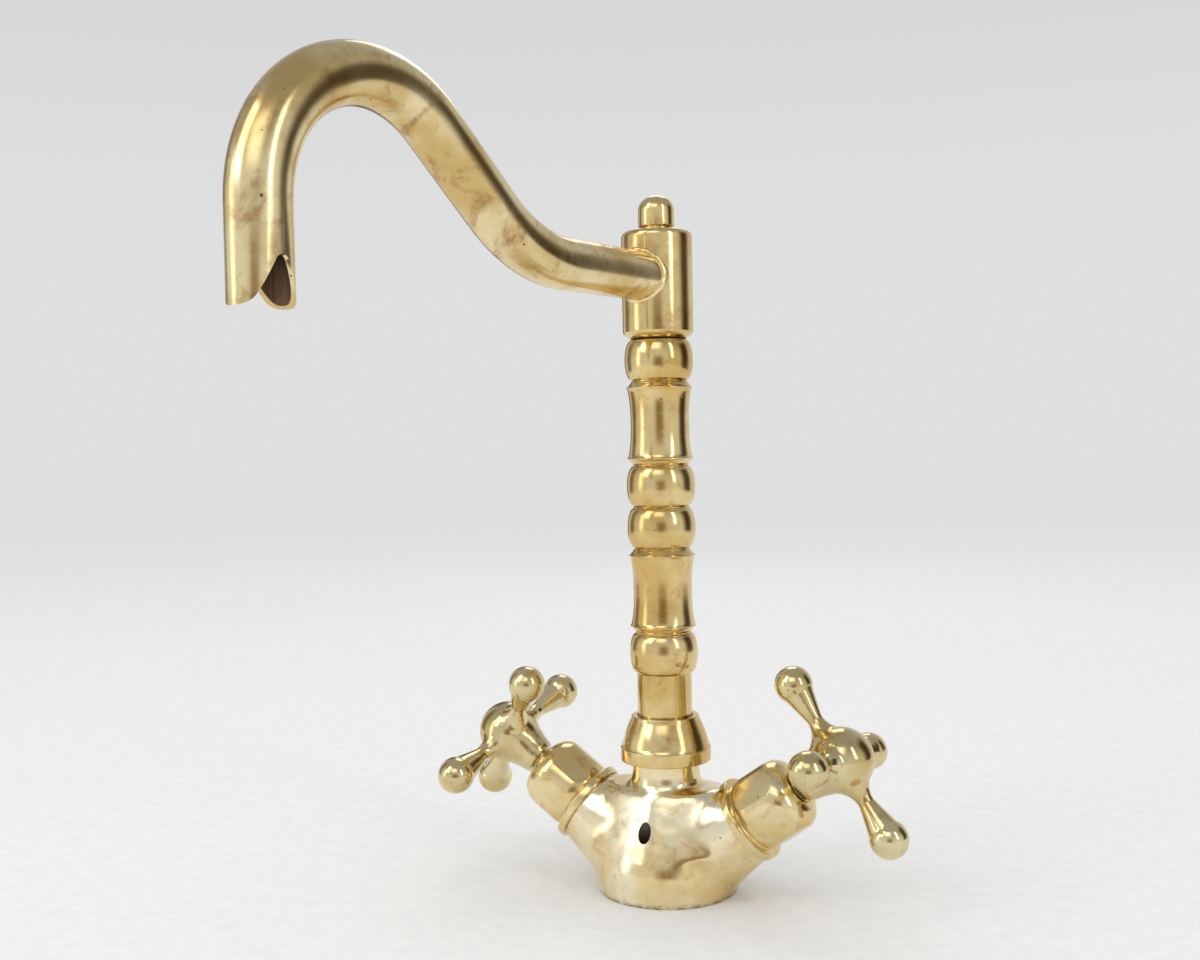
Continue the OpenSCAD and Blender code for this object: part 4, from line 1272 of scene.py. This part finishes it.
@dataclass
class Spout:
    """The bent tube: level run, low bend, climb, high crest and a drop to the notched outlet.

    The open end that is being carried along the path is kept in end and ahead, in metres.
    """

    tube_r: float = 8.7
    wall: float = 1.5
    axis_z: float = 221.5
    turn: float = -100.0
    root: float = 8.1
    run: float = 54.9
    low_r: float = 57.9
    climb_angle: float = 39.0
    climb: float = 33.8
    crest_r: float = 39.4
    drop: float = 27.0
    drop_start: float = 2.0
    notch_half_w: float = 7.7
    notch_h: float = 13.0
    notch_r: float = 2.2
    notch_spare: float = 3.0
    lip_round: float = 4.6
    edge: float = 0.4
    sides: int = 80
    facet: float = 1.1
    end: Vector = field(init=False, default_factory=Vector)
    ahead: Vector = field(init=False, default_factory=Vector)

    def place(self) -> Matrix:
        """Give the place of what is modelled along +X from the hub, at zero height."""
        return moved(0, 0, self.axis_z) @ turned("Z", self.turn)

    def bend(self, radius: float, degrees: float) -> None:
        """Carry the tube's open end round a bend in its plane.

        Args:
            radius: the radius of the tube's middle line.
            degrees: the bend's angle, positive for upwards.
        """
        above = Vector((-self.ahead.z, 0, self.ahead.x))
        centre = self.end + above * math.copysign(radius * MM, degrees)
        steps = max(8, round(abs(math.radians(degrees)) * radius / self.facet))
        bpy.ops.mesh.spin(steps=steps, angle=math.radians(degrees), center=centre, axis=(0, 1, 0))
        swing = Matrix.Rotation(-math.radians(degrees), 3, "Y")
        self.end = centre + swing @ (self.end - centre)
        self.ahead = swing @ self.ahead

    def straight(self, length: float, steps: int) -> None:
        """Carry the tube's open end straight on.

        Args:
            length: how far.
            steps: in how many equal steps.
        """
        for _ in range(steps):
            step = self.ahead * (length * MM / steps)
            Bench.extrude(step)
            self.end = self.end + step

    def swept_tube(self) -> Piece:
        """Extrude and spin an open ring along the whole path, in the XZ plane.

        Returns:
            The tube's skin, open at both ends.
        """
        self.end = Vector((self.root * MM, 0, self.axis_z * MM))
        self.ahead = Vector((1, 0, 0))
        tube = Bench.add(
            bpy.ops.mesh.primitive_circle_add, "swan_neck_tube", vertices=self.sides,
            radius=self.tube_r * MM, location=self.end, rotation=(0, math.pi / 2, 0))
        Bench.settle(tube)
        with Bench.editing(tube):
            self.straight(self.run - self.root, steps=30)
            self.bend(self.low_r, self.climb_angle)
            self.straight(self.climb, steps=24)
            self.bend(self.crest_r, -90 - self.climb_angle)
            self.straight(self.drop_start, steps=2)
            self.straight(self.drop - self.drop_start, steps=1)
            Bench.close_up()
        return tube

    def notch_outline(self) -> Outline:
        """Give the notch's outline: a round top, straight flanks and lips that are rounded below.

        Returns:
            The points (across, height) from left to right.
        """
        rise, half = self.notch_h - self.notch_r, self.notch_half_w
        flank = math.atan2(half, rise) - math.asin(self.notch_r / math.hypot(half, rise))
        slant = math.degrees(flank)
        foot_x = half + self.lip_round / math.tan(math.pi / 4 + flank / 2)
        top = arc(0, rise, self.notch_r, 180 - slant, slant, 12)
        right = arc(foot_x, self.lip_round, self.lip_round, 180 + slant, 270, 10)
        left = [(-x, z) for x, z in reversed(right)]
        return [(-foot_x, -self.notch_spare), *left, *top, *right, (foot_x, -self.notch_spare)]

    def notch_tool(self) -> Piece:
        """Give the tool that cuts the notch through both sides of the outlet.

        Returns:
            The tool, in place.
        """
        outline = self.notch_outline()
        tool = Bench.add(bpy.ops.mesh.primitive_circle_add, "notch_tool", vertices=len(outline),
                         radius=MM, fill_type="NGON")
        for vertex, (x, z) in zip(tool.data.vertices, outline):
            vertex.co = Vector((x * MM, -2 * self.tube_r * MM, z * MM))
        with Bench.editing(tool):
            Bench.extrude((0, 4 * self.tube_r * MM, 0))
            Bench.close_up()
        Bench.settle(tool, Matrix.Translation(self.end))
        return tool

    def mark_straight_place(self, tube: Piece) -> None:
        """Store each point's place on the tube as if it lay straight, for marks that follow it.

        Args:
            tube: the finished tube, still in the XZ plane.
        """
        turn = math.radians(self.climb_angle)
        inward = Vector((math.sin(turn), -math.cos(turn)))
        uphill = Vector((math.cos(turn), math.sin(turn)))
        low = Vector((self.run, self.axis_z + self.low_r))
        climb_start = low + self.low_r * inward
        crest = climb_start + uphill * self.climb + self.crest_r * inward
        climb_along = self.run + self.low_r * turn
        crest_along = climb_along + self.climb
        drop_along = crest_along + self.crest_r * (math.pi / 2 + turn)
        places = []
        for vertex in tube.data.vertices:
            x, y, z = vertex.co / MM
            spot = Vector((x, z))
            past_low = math.atan2(x - low.x, low.y - z)
            before_crest = math.atan2(spot.x - crest.x, spot.y - crest.y)
            if x < self.run:
                along, off = x, z - self.axis_z
            elif past_low < turn and z < low.y:
                along, off = self.run + self.low_r * past_low, self.low_r - (spot - low).length
            elif before_crest < -turn:
                along = climb_along + (spot - climb_start).dot(uphill)
                off = (spot - climb_start).dot(Vector((-uphill.y, uphill.x)))
            elif before_crest < math.pi / 2:
                along = crest_along + self.crest_r * (before_crest + turn)
                off = (spot - crest).length - self.crest_r
            else:
                along, off = drop_along + crest.y - z, x - crest.x - self.crest_r
            places += [along * MM, y * MM, off * MM]
        attribute = tube.data.attributes.new(STRAIGHT_PLACE, "FLOAT_VECTOR", "POINT")
        attribute.data.foreach_set("vector", places)

    def build(self) -> None:
        """Model the tube, its wall and its outlet and put it in the place of its node."""
        tube = self.swept_tube()
        Bench.modify(tube, "SOLIDIFY", thickness=self.wall * MM, offset=-1.0, use_even_offset=True)
        Bench.combine(tube, self.notch_tool(), Joining.CUT)
        Bench.round_edges(tube, self.edge, angle=40, segments=3)
        self.mark_straight_place(tube)
        Bench.settle(tube, turned("Z", self.turn))
        Bench.finish(tube, "spout", "swan_neck_spout", DRAWN_BRASS, sharp=30)


@dataclass
class SpoutHub:
    """The round block on the column that carries the spout and the finial.

    The steps of its foot are pairs, outwards from the groove and up from the column.
    """

    spout: Spout
    radius: float = 12.8
    foot_z: float = 199.6
    height: float = 38.7
    groove_r: float = 10.3
    foot_steps: tuple = ((-0.35, 0.1), (0.1, 0.35))
    chamfer_z: float = 2.9
    chamfer_round: float = 1.6
    edge_r: float = 2.4
    bore_r: float = 8.5
    cap_t: float = 6.0
    stem_r: float = 4.55
    root_gap: float = 0.05
    bead_r: float = 0.85
    bead_limit: float = 0.98
    bead_out: float = 0.35
    bead_up: float = 0.1
    bead_swell: float = 2.4
    bead_swell_h: float = 0.5

    def outline(self) -> Outline:
        """Give the closed outline of the block, bored from below and through its top.

        Returns:
            The points.
        """
        r, foot, top, soft = self.radius, self.foot_z, self.foot_z + self.height, self.chamfer_round
        cap = top - self.cap_t
        return [(self.bore_r, foot),
                *((self.groove_r + out, foot + up) for out, up in self.foot_steps),
                *arc(r - soft, foot + self.chamfer_z, soft, -55, 0, 6),
                *arc(r - self.edge_r, top - self.edge_r, self.edge_r, 0, 90, 8),
                (self.stem_r, top), (self.stem_r, cap), (self.bore_r, cap)]

    def build(self) -> None:
        """Turn the block and drill it for the tube's root, which is brazed in."""
        block = Bench.lathe("spout_hub_block", self.outline(), closed=True, steps=FINE_STEPS)
        tube_r = self.spout.tube_r
        tool = Bench.rod("root_tool", tube_r + self.root_gap, 0, 3 * tube_r, self.spout.sides)
        Bench.settle(tool, self.spout.place() @ turned("Y", 90))
        Bench.combine(block, tool, Joining.CUT)
        Bench.finish(block, "spout", "spout_hub", TURNED_BRASS)

    def build_braze(self) -> None:
        """Lay the braze's uneven bead along the line where the tube enters the block."""
        ring_r = self.spout.tube_r + self.bead_out
        bead = Bench.add(
            bpy.ops.mesh.primitive_torus_add, "braze_bead_ring", major_segments=128,
            minor_segments=14, major_radius=ring_r * MM, minor_radius=self.bead_r * MM,
            rotation=(0, math.pi / 2, 0))
        Bench.settle(bead)
        for vertex in bead.data.vertices:
            across = min(abs(vertex.co.y), self.radius * MM * self.bead_limit)
            vertex.co.x += math.sqrt((self.radius * MM) ** 2 - across ** 2) + self.bead_up * MM
        Bench.ripple(bead, self.bead_swell, self.bead_swell_h)
        Bench.settle(bead, self.spout.place())
        Bench.finish(bead, "spout", "braze_bead", BRAZE_BRASS, sharp=60)


@dataclass
class Finial:
    """The button on top of the hub: a domed post on a narrower foot.

    The steps of its groove are pairs, outwards from the foot's radius and up from the foot's top.
    """

    foot_z: float = 238.3
    radius: float = 6.5
    height: float = 13.0
    dome_h: float = 5.5
    groove: float = 0.5
    foot_h: float = 1.3
    foot_round: float = 0.3
    ring_round: float = 0.25
    ring_drop: float = 0.45
    groove_steps: tuple = ((-0.3, -0.05), (-0.1, 0.15))
    post_round: float = 0.4
    post_up: float = 0.75
    stem_r: float = 4.5
    stem_h: float = 7.0
    seam: float = 0.02

    def build(self) -> None:
        """Turn the finial from its outline, from the stem up."""
        r, foot, neck = self.radius, self.foot_z, self.radius - self.groove
        step, top = foot + self.foot_h, foot + self.height
        ring = [*arc(neck - self.foot_round, foot + self.foot_round, self.foot_round, -60, 0, 3),
                *arc(neck - self.ring_round, step - self.ring_drop, self.ring_round, 0, 80, 4)]
        groove = [*((neck + out, step + up) for out, up in self.groove_steps),
                  *arc(r - self.post_round, step + self.post_up, self.post_round, -50, 0, 4)]
        dome = [(r * cos(a), top - self.dome_h * (1 - sin(a))) for a in range(0, 90, 6)]
        outline = [(0, foot - self.stem_h), (self.stem_r, foot - self.stem_h),
                   (self.stem_r, foot + self.seam), *ring, *groove, *dome, (0, top)]
        button = Bench.lathe("finial_button", outline, steps=CAST_STEPS)
        Bench.finish(button, "spout", "finial", TURNED_BRASS)


@dataclass
class Bonnet:
    """A flanged cover over a valve, with six flats that run out in arches below its dome."""

    side: Side
    turn: float
    flats: float
    foot: float = 38.0
    flange_r: float = 15.5
    flange_t: float = 3.0
    flange_edge: float = 0.4
    flange_round: float = 0.8
    neck_r: float = 12.7
    neck_lip: float = 0.4
    neck_foot: float = 0.35
    neck_h: float = 4.4
    radius: float = 13.8
    height: float = 24.4
    dome_r: float = 7.8
    cavity_r: float = 10.2
    cavity_h: float = 17.0
    nose_r: float = 5.55
    seat_r: float = 12.3
    seat_h: float = 1.3
    flats_gap: float = 0.2
    edge: float = 0.3

    def outline(self) -> Outline:
        """Give the closed outline of the cover with its cavity.

        Returns:
            The points.
        """
        r, n, neck = self.radius, self.neck_r, self.flange_t + self.neck_lip
        edge, soft = self.flange_edge, self.flange_round
        flange = [*arc(self.flange_r - edge, edge, edge, -90, 0, 3),
                  *arc(self.flange_r - soft, self.flange_t - soft, soft, 0, 90, 6)]
        widening = [(n + (r - n) * sin(a), neck + self.neck_h * a / 90) for a in range(9, 91, 9)]
        dome = arc(r - self.dome_r, self.height - self.dome_r, self.dome_r, 0, 90, 20)
        inside = [(self.seat_r, 0), (self.cavity_r, self.seat_h), (self.nose_r, self.cavity_h)]
        cavity = stepped(inside, self.height)[1:-1]
        foot = (n + self.neck_foot, self.flange_t)
        return [*flange, foot, (n, neck), *widening, *dome, *reversed(cavity)]

    def flats_tool(self) -> Piece:
        """Give the six-sided bar, wide at its foot for the flange, that the cover is cut down to.

        Returns:
            The bar.
        """
        corner_r = self.flats / 2 / math.cos(math.pi / 6)
        low, high = self.flange_t - OVERSHOOT, self.height + 2 * OVERSHOOT
        bar = Bench.rod("flats_bar", corner_r, low, high, sides=6)
        Bench.settle(bar, turned("Z", self.turn))
        foot = Bench.rod("flange_bar", self.flange_r + 2 * OVERSHOOT, -OVERSHOOT,
                         self.flange_t + self.flats_gap, sides=48)
        Bench.combine(bar, foot, Joining.FUSE)
        return bar

    def build(self) -> None:
        """Turn the cover, mill its flats and seat it on its arm."""
        cover = Bench.lathe(f"{self.side.value}_bonnet_cover", self.outline(), closed=True)
        Bench.combine(cover, self.flats_tool(), Joining.KEEP_COMMON)
        Bench.round_edges(cover, self.edge, angle=14)
        Bench.settle(cover, on_valve(self.side, self.foot))
        Bench.finish(cover, "base", f"{self.side.value}_bonnet", bonnet_finish(self.side), sharp=28)


@dataclass
class CrossHandle:
    """A handle with four flaring spokes that end in balls, on a round hub with a skirt.

    The steps of the skirt are pairs, outwards from its foot and up from its foot.
    """

    reach: float = 30.2
    ball_r: float = 6.75
    ball_neck: float = 0.82
    waist_r: float = 2.8
    waist: float = 16.4
    fillet_r: float = 8.8
    hub_r: float = 11.3
    hub_shift: float = 0.6
    hub_low: float = -26.0
    skirt_foot_r: float = 6.3
    skirt_h: float = 16.0
    skirt_steps: tuple = ((0.0, 0.3), (0.5, 1.2))
    skirt_waist_r: float = 7.4
    skirt_waist_h: float = 11.5
    taper_out: float = 1.1
    taper_share: float = 0.7
    socket_r: float = 4.0
    socket_depth: float = 14.0
    grub_drop: float = 9.0
    grub_r: float = 2.05
    grub_turn: float = 45.0
    plane: float = 80.0
    spare: float = 2.0
    swell: float = 6.0
    swell_h: float = 0.12
    voxel: float = 0.4
    smoothing: int = 9

    def hub_outline(self) -> Outline:
        """Give the outline of the hub: a skirt with a hollow taper below a large round.

        Returns:
            The points, with spare length at the skirt's foot.
        """
        foot_r, foot, low = self.skirt_foot_r, -self.skirt_h, -self.skirt_h - self.spare
        taper = [(self.skirt_waist_r, -self.skirt_waist_h),
                 (self.skirt_waist_r + self.taper_out, -self.skirt_waist_h * self.taper_share)]
        skirt = [(foot_r + out, foot + up) for out, up in self.skirt_steps]
        globe = arc(0, self.hub_shift, self.hub_r, self.hub_low, 90, 24)
        return [(0, low), (foot_r, low), *skirt, *taper, *globe[:-1],
                (0, self.hub_shift + self.hub_r)]

    def spoke_outline(self) -> Outline:
        """Give the outline of a spoke: root fillet, waist, flaring cone and ball.

        Returns:
            The points, from the root outwards.
        """
        centre_r = self.waist_r + self.fillet_r
        turn = math.degrees(math.atan2(centre_r, self.waist))
        fillet = arc(centre_r, self.waist, self.fillet_r, 270 - turn, 180, 12)
        shoulder = (self.ball_r * self.ball_neck, self.reach - self.ball_r / 2)
        ball = arc(0, self.reach, self.ball_r, -30, 90, 24)
        tip = (0, self.reach + self.ball_r)
        return [(0, 0), (self.fillet_r, 0), *fillet, shoulder, *ball[:-1], tip]

    def pattern(self) -> Piece:
        """Model the handle once, upright, with its spokes in the plane at zero height.

        Returns:
            The handle.
        """
        parts = [Bench.lathe("cross_pattern", self.hub_outline(), steps=72)]
        for quarter in range(4):
            parts.append(Bench.lathe(f"spoke_{quarter}", self.spoke_outline(), steps=56))
            Bench.settle(parts[-1], turned("Z", quarter * 90) @ turned("X", -90))
        cross = Bench.join(parts)
        Bench.blend_solid(cross, self.voxel, self.smoothing)
        Bench.ripple(cross, self.swell, self.swell_h)
        Bench.slice_off(cross, Matrix(), -self.skirt_h, below=True)
        socket = Bench.rod("socket_tool", self.socket_r, -self.skirt_h - self.spare,
                           self.socket_depth - self.skirt_h)
        grub = Bench.rod("grub_tool", self.grub_r, 0, self.hub_r * 2, sides=32)
        lay = turned("Z", self.grub_turn) @ turned("Y", 90)
        Bench.settle(grub, moved(0, 0, -self.grub_drop) @ lay)
        for tool in (socket, grub):
            Bench.combine(cross, tool, Joining.CUT)
        return cross

    def build(self, turns: dict[Side, float]) -> None:
        """Copy the pattern onto both valves.

        Args:
            turns: each handle's angle about its axis at rest.
        """
        pattern = self.pattern()
        for side, turn in turns.items():
            Bench.pick(pattern)
            bpy.ops.object.duplicate(linked=False)
            cross = Bench.latest(f"{side.value}_cross")
            Bench.settle(cross, on_valve(side, self.plane, turn))
            Bench.finish(cross, f"{side.value}_handle", f"{side.value}_cross_handle", HANDLE_BRASS,
                         sharp=40)
        bpy.data.objects.remove(pattern)


class HiddenWorks:
    """The pieces inside the faucet, which keep their solids and get their finishes."""

    SINGLE = {
        RUBBER: ["base_gasket", "upper_spigot_ring", "lower_spigot_ring"],
        NYLON: ["slip_ring"],
    }
    IN_EACH_VALVE = {
        RUBBER: ["cartridge_ring", "seat_seal", "spindle_ring"],
        NYLON: ["glide_washer"],
        CERAMIC: ["fixed_disc", "moving_disc"],
        STEEL: ["circlip", "grub_screw"],
        MACHINED_BRASS: ["cartridge", "spindle"],
    }

    def dress(self) -> None:
        """Give each inner node the finish of its substance."""
        for finish, names in self.IN_EACH_VALVE.items():
            pairs = [f"{side.value}_{name}" for name in names for side in Side]
            for name in self.SINGLE.get(finish, []) + pairs:
                materials = frame["nodes"][name].data.materials
                materials.clear()
                materials.append(finish.material())
                LOG.info("%s: %s", name, finish.name)


@dataclass
class Studio:
    """A pale floor, a pale surround and soft lamps, with the camera at the photograph's angle.

    A lamp or a card has its azimuth from the front towards the cold side, its elevation, its
    distance and its width and height in metres, and then its power or its tone.
    """

    distance: float = 486.7
    azimuth: float = 23.27
    eye_z: float = 162.9
    yaw: float = 2.6
    pitch: float = 1.62
    roll: float = -1.12
    focal_px: float = 1341.2
    frame_px: float = 1200.0
    sensor: float = 36.0
    aim_z: float = 0.13
    floor_r: float = 6.0
    horizon: Colour = (0.74, 0.742, 0.748, 1)
    ceiling: Colour = (0.42, 0.425, 0.44, 1)
    room_light: float = 0.98

    LAMPS = {
        "key_softbox": (-34.0, 38.0, 1.25, (0.45, 0.8), 2.6),
        "side_softbox": (70.0, 26.0, 1.2, (0.14, 0.8), 1.4),
        "back_softbox": (200.0, 42.0, 1.3, (0.5, 0.5), 1.2),
    }
    # Sheets seen only in the metal's reflections, lighting nothing: the bright ones are painted highlights, the
    # dark ones painted dark reflections.
    CARDS = {
        "front_glow_card": (10.0, 40.0, 1.05, (1.0, 0.62), (1.8, 1.78, 1.7, 1)),
        "left_glow_card": (-50.0, 12.0, 1.05, (0.4, 0.9), (2.0, 1.98, 1.9, 1)),
        "centre_card": (22.0, -4.0, 0.9, (0.8, 0.75), (0.3, 0.22, 0.13, 1)),
        "right_card": (122.0, 10.0, 0.95, (1.0, 1.4), (0.07, 0.05, 0.03, 1)),
        "left_card": (-96.0, 10.0, 0.95, (0.7, 1.4), (0.24, 0.2, 0.14, 1)),
        "rear_card": (225.0, 8.0, 0.95, (0.5, 1.2), (0.16, 0.12, 0.08, 1)),
    }

    def camera(self) -> None:
        """Set the camera where the photograph was taken from."""
        across, back = self.distance * sin(self.azimuth), self.distance * cos(self.azimuth)
        heading, pitch = self.azimuth + self.yaw, self.pitch
        ahead = Vector((-sin(heading) * cos(pitch), cos(heading) * cos(pitch), -sin(pitch)))
        level = Vector((cos(heading), sin(heading), 0))
        upright = level.cross(ahead)
        right = cos(self.roll) * level + sin(self.roll) * upright
        up = -sin(self.roll) * level + cos(self.roll) * upright
        data = bpy.data.cameras.new("photo_camera")
        data.sensor_fit = "HORIZONTAL"
        data.sensor_width = self.sensor
        data.lens = self.focal_px * self.sensor / self.frame_px
        data.clip_start = 0.01
        data.clip_end = 100.0
        camera = bpy.data.objects.new("photo_camera", data)
        bpy.context.scene.collection.objects.link(camera)
        turn = Matrix((right, up, -ahead)).transposed().to_4x4()
        camera.matrix_world = moved(across, -back, self.eye_z) @ turn
        bpy.context.scene.camera = camera

    def floor(self) -> None:
        """Lay a wide pale floor with a faint grain."""
        floor = Bench.add(bpy.ops.mesh.primitive_circle_add, "floor", vertices=CAST_STEPS,
                          radius=self.floor_r, fill_type="NGON")
        material = bpy.data.materials.new("pale_floor")
        graph = Graph.on(material)
        grain = graph.fade(graph.noise(graph.place(), 160.0, detail=5.0), low=0.3, high=0.7)
        tone = graph.mix(grain, tint(224, 224, 224), tint(229, 229, 228))
        shader = graph.add("BsdfPrincipled", {"Base Color": tone, "Roughness": 0.85})
        graph.end("Material", shader.outputs["BSDF"])
        floor.data.materials.append(material)

    def surround(self) -> None:
        """Light the room evenly and show a pale horizon under a darker ceiling in it."""
        world = bpy.data.worlds.new("soft_room")
        bpy.context.scene.world = world
        graph = Graph.on(world)
        direction = graph.add("TexCoord").outputs["Generated"]
        height = graph.add("SeparateXYZ", {"Vector": direction}).outputs["Z"]
        seen = graph.mix(graph.fade(height, low=0.1, high=0.8), self.horizon, self.ceiling)
        rays = graph.add("LightPath").outputs
        shiny = graph.sum("MAXIMUM", rays["Is Glossy Ray"], rays["Is Transmission Ray"])
        visible = graph.sum("MAXIMUM", rays["Is Camera Ray"], shiny)
        lit = graph.add("Background", {"Color": (1.0, 1.0, 1.0, 1), "Strength": self.room_light})
        shown = graph.add("Background", {"Color": seen, "Strength": 1.0})
        graph.end("World", graph.mix_shaders(visible, lit, shown))

    def place_round(self, name: str, data: bpy.types.ID, azimuth: float, elevation: float,
                    away: float) -> Piece:
        """Put a lamp or a card on a sphere round the faucet, facing it.

        Args:
            name: the object's name.
            data: its lamp or mesh.
            azimuth: its angle round the faucet.
            elevation: its angle above the horizon.
            away: its distance, in metres.

        Returns:
            The new object.
        """
        item = bpy.data.objects.new(name, data)
        bpy.context.scene.collection.objects.link(item)
        level = cos(elevation)
        back = Vector((sin(azimuth) * level, -cos(azimuth) * level, sin(elevation)))
        item.location = back * away + Vector((0, 0, self.aim_z))
        item.rotation_euler = back.to_track_quat("Z", "Y").to_euler()
        return item

    def lamp(self, name: str, azimuth: float, elevation: float, away: float,
             size: tuple[float, float], power: float) -> None:
        """Hang a soft lamp that faces the faucet.

        Args:
            name: the lamp's name.
            azimuth: its angle round the faucet.
            elevation: its angle above the horizon.
            away: its distance, in metres.
            size: its width and height, in metres.
            power: its power, in watts.
        """
        data = bpy.data.lights.new(name, "AREA")
        data.shape = "RECTANGLE"
        data.size, data.size_y = size
        data.energy = power
        self.place_round(name, data, azimuth, elevation, away)

    def card(self, name: str, azimuth: float, elevation: float, away: float,
             size: tuple[float, float], shade: Colour) -> None:
        """Stand a card with soft edges that only the metal's reflections show: a painted reflection, dark or
        glowing, that lights nothing and casts no shadow.

        Args:
            name: the card's name.
            azimuth: its angle round the faucet.
            elevation: its angle above the horizon.
            away: its distance, in metres.
            size: its width and height, in metres.
            shade: its tone, over 1 for a bright one.
        """
        plane = Bench.add(bpy.ops.mesh.primitive_plane_add, f"{name}_sheet", size=1.0)
        plane.scale = (*size, 1)
        Bench.settle(plane)
        material = bpy.data.materials.new(f"{name}_tone")
        graph = Graph.on(material)
        spot = graph.add("SeparateXYZ", {"Vector": graph.add("TexCoord").outputs["UV"]}).outputs
        across, up = (graph.sum("PINGPONG", spot[axis], 0.5) for axis in ("X", "Y"))
        sides, ends = graph.fade(across, low=0.0, high=0.4), graph.fade(up, low=0.0, high=0.3)
        cover = graph.times(sides, ends)
        glow = graph.add("Emission", {"Color": shade, "Strength": 1.0})
        graph.end("Material", graph.mix_shaders(cover, graph.add("BsdfTransparent"), glow))
        plane.data.materials.append(material)
        card = self.place_round(name, plane.data, azimuth, elevation, away)
        bpy.data.objects.remove(plane)
        card.visible_camera = False
        card.visible_diffuse = False
        card.visible_shadow = False

    def build(self) -> None:
        """Set up the camera, the floor, the surround, the lamps and the cards."""
        self.camera()
        self.floor()
        self.surround()
        for name, row in self.LAMPS.items():
            self.lamp(name, *row)
        for name, row in self.CARDS.items():
            self.card(name, *row)
        bpy.context.scene.view_settings.view_transform = "Standard"


def main() -> None:
    """Build every sub-assembly in order, in the studio."""
    logging.basicConfig(level=logging.INFO, format="%(message)s")
    Studio().build()
    spout = Spout()
    hub = SpoutHub(spout)
    MixerBody().build()
    CollarNut().build()
    TurnedColumn().build()
    hub.build()
    spout.build()
    hub.build_braze()
    Finial().build()
    Bonnet(Side.HOT, turn=23.0, flats=26.2).build()
    Bonnet(Side.COLD, turn=51.0, flats=25.6).build()
    CrossHandle().build({Side.HOT: 62.0, Side.COLD: 83.0})
    HiddenWorks().dress()


if __name__ == "__main__":
    main()
